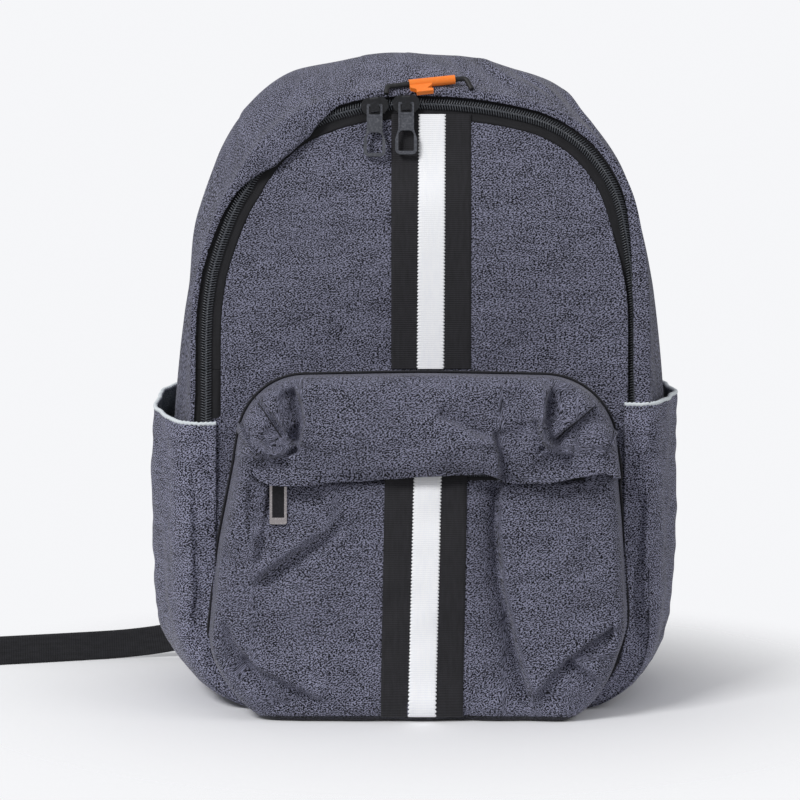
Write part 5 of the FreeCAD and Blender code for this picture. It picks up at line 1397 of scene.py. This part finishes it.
# %% [markdown]
# The pocket's own small zip lies under the hood: two rows of coil on a tape let into the
# pocket's face. Only its slider and pull hang into view.

# %% Pocket zip
SMALL = 0.7  # the small zip's bars and pitch, as a share of the full size
small_line = np.stack([np.linspace(102, -102, 400), np.full(400, 150.0)], -1)
for name, side, nodes in (("upper", 1, ["pocket_zip_coil"]), ("lower", -1, [])):
    row = coil_row("pocket_coil_" + name, small_line, side, PITCH * SMALL, SMALL, 41.9)
    settle(row, "pack", "zip_coil", *nodes)
small_tape = tape("pocket_zip_tape_cloth", small_line, -5.5, 5.5, 41.5, 0.5)
settle(small_tape, "pack", "zip_tape", "pocket_zip_tape")

# %% [markdown]
# Sliders, pulls, hook and buckles keep their CAD shapes, which are exact, and get finishes:
# gloss lacquer on the sliders, rubbed gunmetal on the grip pulls, bright metal round the
# pocket pull, and moulded plastic on the hook and the ladder locks.

# %% Finishes on CAD pieces
for node, finish in {
        "zip_slider_left": LACQUER, "zip_slider_right": LACQUER, "pocket_slider": LACQUER,
        "zip_pull_left": GUNMETAL, "zip_pull_right": GUNMETAL, "pocket_pull": NICKEL,
        "pocket_pull_insert": INSERT, "lock_hook": ORANGE, "attachment_loop": LOOP_CORD,
        "ladder_lock_left": BUCKLE, "ladder_lock_right": BUCKLE}.items():
    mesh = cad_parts[node].data
    mesh.materials.clear()
    mesh.materials.append(finish)
    print(node, "is", finish.name)

# %% [markdown]
# The back is where the wearer feels the pack. Its panel is quilted mesh cloth, and three
# foam pads stand on it. A pad is foam in a tight cover: it starts as a thin closed form and
# a short cloth simulation with air pressure and no gravity swells it against its edges.
# The seams are sewn in afterwards, because the even mesh that a simulation needs is coarser
# than a seam.

# %% Back panel
QUILT = 22  # millimetres from one quilted line to the next
loop = arch("rear", -0.2)
foot_at = STEPS["base"] + STEPS["foot"] // 2  # a corner: half way round the foot's arc
shoulder_at = STEPS["base"] + STEPS["foot"] + STEPS["side"] + STEPS["leg"] + 30
turned = np.roll(loop, foot_at, axis=0)
low = resample(turned[:2 * foot_at + 1], 110)
right = resample(loop[foot_at:shoulder_at + 1], 150)
high = resample(loop[shoulder_at:len(loop) - shoulder_at + 1][::-1], 110)
left = resample(loop[len(loop) - shoulder_at:len(loop) - foot_at + 1][::-1], 150)
back = patch(low, high, left, right)
wide, up = back[..., 0], back[..., 1]
quilt = np.sqrt(np.abs(np.sin(wide * np.pi / QUILT)) * np.abs(np.sin(up * np.pi / QUILT)))
inset = np.minimum(np.minimum(np.abs(up), 400 - up), 150 - np.abs(wide)) / 18
free = ease(inset) * (up > 0)
lift = 78 - 0.6 * (1 - quilt) * free + 0.4 * free
back_panel = sheet("back_panel_cloth", np.stack([wide - slump(up), lift, up], -1),
                   [MESH, LINING], back, wall=2.6, lining=1, flip=True)
settle(back_panel, "pack", "mesh_fabric", "back_panel")
print("back panel", back.shape)

# %% [markdown]
# A pad's form is closed on itself: its rings start in the middle of its back, run out and
# up round its edge and end in the middle of its face, so no open rim is left to close.

# %% Closed pads
def rounded_box(width, height, corner, count):
    """A rectangle's outline with rounded corners, centred on 0, 0, closed."""
    a, b = width / 2, height / 2
    line = bent(((0, -b, 0), (a, -b, corner), (a, b, corner), (-a, b, corner),
                 (-a, -b, corner), (0, -b, 0)), 10)
    return resample(line, count + 1)[:-1]


def pad_form(name, outline, middle, place, thick, edge, finish):
    """A closed pad: rings from the middle of its flat back, out, up its edge on half a
    circle and in again to the middle of its crowned face. place turns (across, up, out)
    into a point."""
    gap = outline - middle
    span = np.linalg.norm(gap, axis=-1, keepdims=True)
    share_back = np.linspace(0, 1, 16, endpoint=False)
    turn = np.linspace(-np.pi / 2, np.pi / 2, 14)
    half = thick / 2
    rim = 1 - edge / span * (1 - np.cos(turn))[None, :]
    share_face = np.linspace(1, 0, 22)[1:]
    scale = np.concatenate([share_back[None] * rim[:, :1], rim,
                            share_face[None] * rim[:, -1:]], 1)
    out = np.concatenate([0 * share_back, half + half * np.sin(turn),
                          thick + 0 * share_face])
    crown = np.concatenate([0 * share_back, 0 * turn, 0.14 * thick * (1 - share_face ** 3)])
    flat = np.atleast_2d(middle)[:, None] + gap[:, None] * scale[..., None]
    points = place(flat[..., 0], flat[..., 1], np.broadcast_to(out + crown, scale.shape))
    piece = sheet(name, points, [finish], flat, around=True)
    weld(piece, 2e-5, outward=True)
    return piece


def put_spots(mesh, spots):
    """Writes points back to a mesh, from millimetres."""
    mesh.vertices.foreach_set("co", (spots * MM).ravel())
    mesh.update()


# %% Places on the back and along a strap
STRAP_POINTS = 260  # round a strap pad's outline
STRAP_TOP, STRAP_DROP = 374, 234.0  # height of a strap pad's top, and how far it comes down
STRAP_TABLE = np.array((  # share of the drop, middle line's distance out, half width
    (0.0, 62.0, 30.0), (0.24, 67.6, 30.0), (0.6, 83.7, 27.6), (0.9, 94.2, 18.0),
    (1.0, 97.0, 13.0)))
STRAP_BOW = bent(((374, 84.2, 0), (371, 94, 12), (321, 118.4, 40), (257, 124.3, 90),
                  (191, 116.3, 90), (140.6, 98.4, 0)), 14)  # height, distance behind


def on_back(centre_x, centre_z, depth=78.2):
    """Places a pad's own across and up on the back panel, standing out towards +Y."""
    return lambda across, up, out: np.stack(
        np.broadcast_arrays(centre_x + across, depth + out, centre_z + up), -1)


def strap_at(drop):
    """How far out a strap's middle line runs, and its half width, by how far down."""
    share = np.clip(drop / STRAP_DROP, 0, 1)
    return (np.interp(share, STRAP_TABLE[:, 0], column)
            for column in (STRAP_TABLE[:, 1], STRAP_TABLE[:, 2]))


def strap_face(height):
    """How far behind the pack's middle a strap's outer face stands at a height."""
    return np.interp(-height, -STRAP_BOW[:, 0], STRAP_BOW[:, 1])


def on_strap(side):
    """Places a strap pad's own across and drop: its middle line swings outwards as it
    falls, its profile bows out from the back, and its sides curl in by a parabola."""
    def place(across, drop, out):
        """A point of the pad, from its own across, drop and out."""
        middle, _ = strap_at(drop)
        y = strap_face(STRAP_TOP - drop) - 9.4 + out - 0.0016 * across ** 2
        return np.stack([side * (middle + across), y, STRAP_TOP - drop], -1)
    return place


def strap_outline():
    """A strap pad's outline in its own across and drop, with a rounded tip."""
    drop = np.linspace(1.5, 232.5, 100)
    _, half = strap_at(drop)
    half = (half - 0.6) * np.sqrt(np.clip((233.4 - drop) / 8, 0.05, 1)) ** 0.6
    right = np.stack([half, drop], -1)
    left = np.stack([-half, drop], -1)[::-1]
    return resample(np.concatenate([right, left, right[:1]]), STRAP_POINTS + 1)[:-1]


# %% The three back pads and the straps' padding
BACK_PADS = {  # middle across and up, width, height
    "left": (-54, 225, 67.4, 229.4), "right": (54, 225, 67.4, 229.4),
    "lumbar": (0, 71, 175.4, 61.4)}
PAD_THICK, PAD_EDGE = 7.6, 4.0
pads = {}
for name, (across, up, wide, high) in BACK_PADS.items():
    pads["back_pad_" + name] = pad_form(
        "back_pad_foam_" + name, rounded_box(wide, high, 16, 220), np.zeros(2),
        on_back(across, up), PAD_THICK, PAD_EDGE, MESH)
outline = strap_outline()
middle = np.stack([np.zeros(STRAP_POINTS), np.clip(outline[:, 1], 28, 216)], -1)
for side, name in SIDES:
    pads["shoulder_strap_" + name] = pad_form(
        "shoulder_strap_foam_" + name, outline, middle, on_strap(side), 8.8, 4.4, SHELL)
print("pads:", sorted(pads))

# %% [markdown]
# Foam under a tight cover bulges between its seams. A cloth simulation finds that shape:
# the cover is remeshed evenly, blown up from inside for twenty frames, and frozen.

# %% Swell the foam
VOXEL = 0.0042  # metres from one point of the simulated cover to the next


def swell(pieces, cap, frames=20):
    """Remeshes each pad evenly, lets air pressure swell its cloth with no gravity, caps
    how far any point may move and keeps the result as plain mesh."""
    bpy.ops.object.select_all(action="DESELECT")
    before = {}
    for piece in pieces:
        bpy.context.view_layer.objects.active = piece
        grid = piece.modifiers.new("even", "REMESH")
        grid.mode, grid.voxel_size = "VOXEL", VOXEL
        bpy.ops.object.modifier_apply(modifier="even")
        before[piece.name] = spots_of(piece.data)
        cloth = piece.modifiers.new("cover", "CLOTH")
        cloth.settings.quality = 4
        cloth.settings.use_pressure = True
        cloth.settings.uniform_pressure_force = 4.0
        cloth.settings.effector_weights.gravity = 0.0
        cloth.settings.tension_stiffness = cloth.settings.compression_stiffness = 30
        cloth.point_cache.frame_start, cloth.point_cache.frame_end = 1, frames
    for step in range(1, frames + 1):
        bpy.context.scene.frame_set(step)
    seen = bpy.context.evaluated_depsgraph_get()
    after = {}
    for piece in pieces:
        shown = piece.evaluated_get(seen)
        held = shown.to_mesh()
        after[piece.name] = spots_of(held)
        shown.to_mesh_clear()
    for piece in pieces:
        piece.modifiers.remove(piece.modifiers["cover"])
        move = after[piece.name] - before[piece.name]
        far = np.linalg.norm(move, axis=1, keepdims=True)
        move = move * np.minimum(1, cap / np.maximum(far, 1e-9))
        put_spots(piece.data, before[piece.name] + move)
        print(piece.name, "moved up to", far.max().round(2), "mm, capped at", cap)
    bpy.context.scene.frame_set(1)


swell([pads[n] for n in pads if n.startswith("back")], 1.6)
swell([pads[n] for n in pads if n.startswith("shoulder")], 1.4)


# %% Sewn channels and finish of the pads
def sew(piece, groove):
    """Refines a pad once, presses its seams in towards the back panel, and lays the weave
    flat on it by its own across and up."""
    bpy.context.view_layer.objects.active = piece
    fine = piece.modifiers.new("fine", "SUBSURF")
    fine.levels = fine.render_levels = 1
    bpy.ops.object.modifier_apply(modifier="fine")
    mesh = piece.data
    spots = spots_of(mesh)
    spots[:, 1] -= groove(spots)
    put_spots(mesh, spots)
    mesh.polygons.foreach_set("use_smooth", np.ones(len(mesh.polygons), bool))
    while mesh.uv_layers:
        mesh.uv_layers.remove(mesh.uv_layers[0])
    layer = mesh.uv_layers.new(name="cloth")
    corners = np.empty(len(mesh.loops), np.int64)
    mesh.loops.foreach_get("vertex_index", corners)
    layer.data.foreach_set("uv", spots[corners][:, [0, 2]].ravel())


def channel(gap):
    """Depth of a sewn channel by the distance from its line: a bell curve."""
    return 2.6 * np.exp(-(gap / 1.9) ** 2)


def side_channels(spots):
    """Slanted channels on a side pad, 38 mm apart."""
    gap = np.abs((spots[:, 2] + np.abs(spots[:, 0]) * 0.35 + 19) % 38 - 19)
    return ease((spots[:, 1] - 83) / 2) * channel(gap)


def lumbar_channels(spots):
    """Upright channels on the lumbar pad, 29.2 mm apart."""
    gap = np.abs((np.abs(spots[:, 0]) + 14.6) % 29.2 - 14.6)
    return ease((spots[:, 1] - 83) / 2) * channel(gap)


def strap_seam(spots):
    """A strap's seam runs round it a little inside its edge: a bell curve too."""
    middle, half = strap_at(STRAP_TOP - spots[:, 2])
    gap = np.abs(np.abs(np.abs(spots[:, 0]) - middle) - (half - 6.5))
    outside = ease((spots[:, 1] - strap_face(spots[:, 2]) + 4) / 2)
    return 1.3 * np.exp(-(gap / 1.5) ** 2) * outside


for node, piece in pads.items():
    back_pad = node.startswith("back")
    sew(piece, strap_seam if not back_pad else
        lumbar_channels if node.endswith("lumbar") else side_channels)
    settle(piece, "pack" if back_pad else node.replace("shoulder_", ""),
           "mesh_fabric" if back_pad else "shell_fabric", node)
    spots = spots_of(piece.data)
    print(piece.name, spots.min(0).round(1), spots.max(0).round(1), "mm")

# %% [markdown]
# The yoke is a stiff folded strip over the straps' roots. The haul loop is doubled webbing
# sewn in over it. Below, webbing comes out of each strap's tip, through the ladder lock,
# and a folded tab ties the lock down to the foot of the back panel.

# %% Yoke and haul loop
YOKE_UP, YOKE_WIDE, YOKE_HIGH = 361, 191.6, 33.6


def yoke_seam(spots):
    """Rows of stitching 13.5 mm above and below the yoke's middle and near its two ends."""
    rows = np.exp(-((np.abs(spots[:, 2] - YOKE_UP) - 13.5) / 0.6) ** 2)
    ends = np.exp(-((np.abs(spots[:, 0]) - 91) / 0.6) ** 2)
    return 0.5 * ease(spots[:, 1] - 80) * (rows + ends)


yoke = pad_form("yoke_cloth", rounded_box(YOKE_WIDE, YOKE_HIGH, 8, 240), np.zeros(2),
                on_back(0, YOKE_UP, 78.1), 3.8, 1.8, SHELL)
sew(yoke, yoke_seam)
half, root, top = 27.8, 82.2, 114.6  # of the haul loop: half width, and from root to top
route = resample(bent(((-half, root, 0), (-half, top, 14), (half, top, 14),
                       (half, root, 0)), 16), 90)
haul = ribbon("haul_loop_webbing", np.c_[route, np.full(90, 362.0)],
              np.array([[0, 0, 1.0]]), 2.2, HANDLE)
settle(yoke, "pack", "shell_fabric", "yoke")
settle(haul, "pack", "black_webbing", "haul_loop")
print("yoke and haul loop", len(yoke.data.polygons), len(haul.data.polygons), "faces")

# %% Lower webbing
TAB_THICK = 2.9  # two layers of webbing
for side, name in SIDES:
    foot, head = np.array([side * 133, 79.8, 30.0]), np.array([side * 97, 95.6, 139.7])
    way = unit(head - foot)
    across = unit(np.cross(way, np.array([0, 1.0, 0]) - way * way[1]))[None]
    for kind, body, node, start, end, count, thick in (
            ("strap_webbing_cloth_", "strap_" + name, "strap_webbing_", 47.2, 113, 24,
             WEB_THICK),
            ("anchor_tab_webbing_", "pack", "anchor_tab_", 0, 19.6, 20, TAB_THICK)):
        line = foot + way * np.linspace(start, end, count)[:, None]
        piece = ribbon(kind + name, line, across, thick, WEBBING)
        settle(piece, body, "black_webbing", node + name)
        print(piece.name, round(end - start, 1), "mm long")

# %% [markdown]
# Inside, a sleeve for a flat case stands against the back panel, open at its top.

# %% Laptop sleeve
SLEEVE_HALF, SLEEVE_TOP = 117.6, 265
across, up = np.meshgrid(np.linspace(-SLEEVE_HALF, SLEEVE_HALF, 96),
                         np.linspace(3.0, SLEEVE_TOP, 90), indexing="ij")
corner = np.maximum(np.abs(across) - 95.6, 0) ** 2 / 22.0  # the bag's foot is rounded there
up = np.where(up < 30, up + corner * (1 - up / 30), up)
face = 61.4 + 1.2 * waves(across, up, 70, 91) * ease((117 - np.abs(across)) / 16)
side_wall = ease((np.abs(across) - 113.5) / 4.1) * 13.2
points = np.stack([across, np.maximum(face, 61.1) + side_wall, up], -1)
sleeve = sheet("sleeve_cloth", points, [LINING, LINING], points[..., [0, 2]], wall=1.2,
               lining=1)
settle(sleeve, "pack", "lining", "laptop_sleeve")
print("sleeve", points.shape)

# %% [markdown]
# The studio is a plain pale room: a wide matt floor that fades into the background, an even
# sky all round, one large soft light from the upper left in front and a weaker one from
# the right, so the folds show without hard shadows.

# %% Studio
PALE, SKY_LIGHT = (0.92, 0.925, 0.945, 1), 0.44
world = bpy.data.worlds.new("studio")
bpy.context.scene.world = world
world.use_nodes = True
sky = world.node_tree
lit = sky.nodes["Background"]
lit.inputs["Color"].default_value, lit.inputs["Strength"].default_value = PALE, SKY_LIGHT
behind = add(sky, "ShaderNodeBackground", {"Color": PALE, "Strength": 1.0})
straight = add(sky, "ShaderNodeLightPath").outputs["Is Camera Ray"]
both = add(sky, "ShaderNodeMixShader", {0: straight, 1: lit.outputs[0],
                                        2: behind.outputs[0]})
sky.links.new(both.outputs[0], sky.nodes["World Output"].inputs["Surface"])

# %% Floor
FADE = (0.15, 0.38)  # metres from the middle over which the paper melts into the backdrop
FLOOR_HALF = 3
finish, tree, shader = start_finish("floor_paper", Roughness=0.9, Specular_IOR_Level=0.1)
shader.inputs["Base Color"].default_value = (0.95, 0.953, 0.97, 1)
spot = add(tree, "ShaderNodeTexCoord").outputs["Object"]
reach = add(tree, "ShaderNodeVectorMath", {0: spot}, operation="LENGTH").outputs["Value"]
fade = add(tree, "ShaderNodeMapRange", {0: reach, 1: FADE[0], 2: FADE[1], 3: 1.0, 4: 0.0},
           interpolation_type="SMOOTHSTEP").outputs[0]
tree.links.new(fade, shader.inputs["Alpha"])
floor_mesh = bpy.data.meshes.new("floor")
floor_mesh.from_pydata([(x * FLOOR_HALF, y * FLOOR_HALF, 0)
                        for x, y in ((-1, -1), (1, -1), (1, 1), (-1, 1))],
                       [], [(0, 1, 2, 3)])
floor_mesh.materials.append(finish)
put("floor", floor_mesh)
print("floor fades from", FADE[0], "to", FADE[1], "m")

# %% [markdown]
# The main lamp stands high at the left in front, where it rakes across the folds. The
# others only keep the shaded sides from going black.

# %% Lamps
AIM = Vector((0, 0, 0.2))  # the pack's middle
for name, place, size, power in (  # metres, metres, watts
        ("key", (-1.25, -1.5, 1.7), 0.7, 36.0), ("fill", (1.7, -0.9, 1.1), 1.2, 7.5),
        ("top", (0.1, 0.1, 2.0), 1.4, 1.8)):
    light = bpy.data.lights.new(name, "AREA")
    light.size, light.energy = size, power
    lamp = put(name, light)
    lamp.location = place
    lamp.rotation_euler = (AIM - Vector(place)).to_track_quat("-Z", "Y").to_euler()
    print(name, "lamp", power, "W,", size, "m wide")
bpy.context.scene.view_settings.view_transform = "Standard"
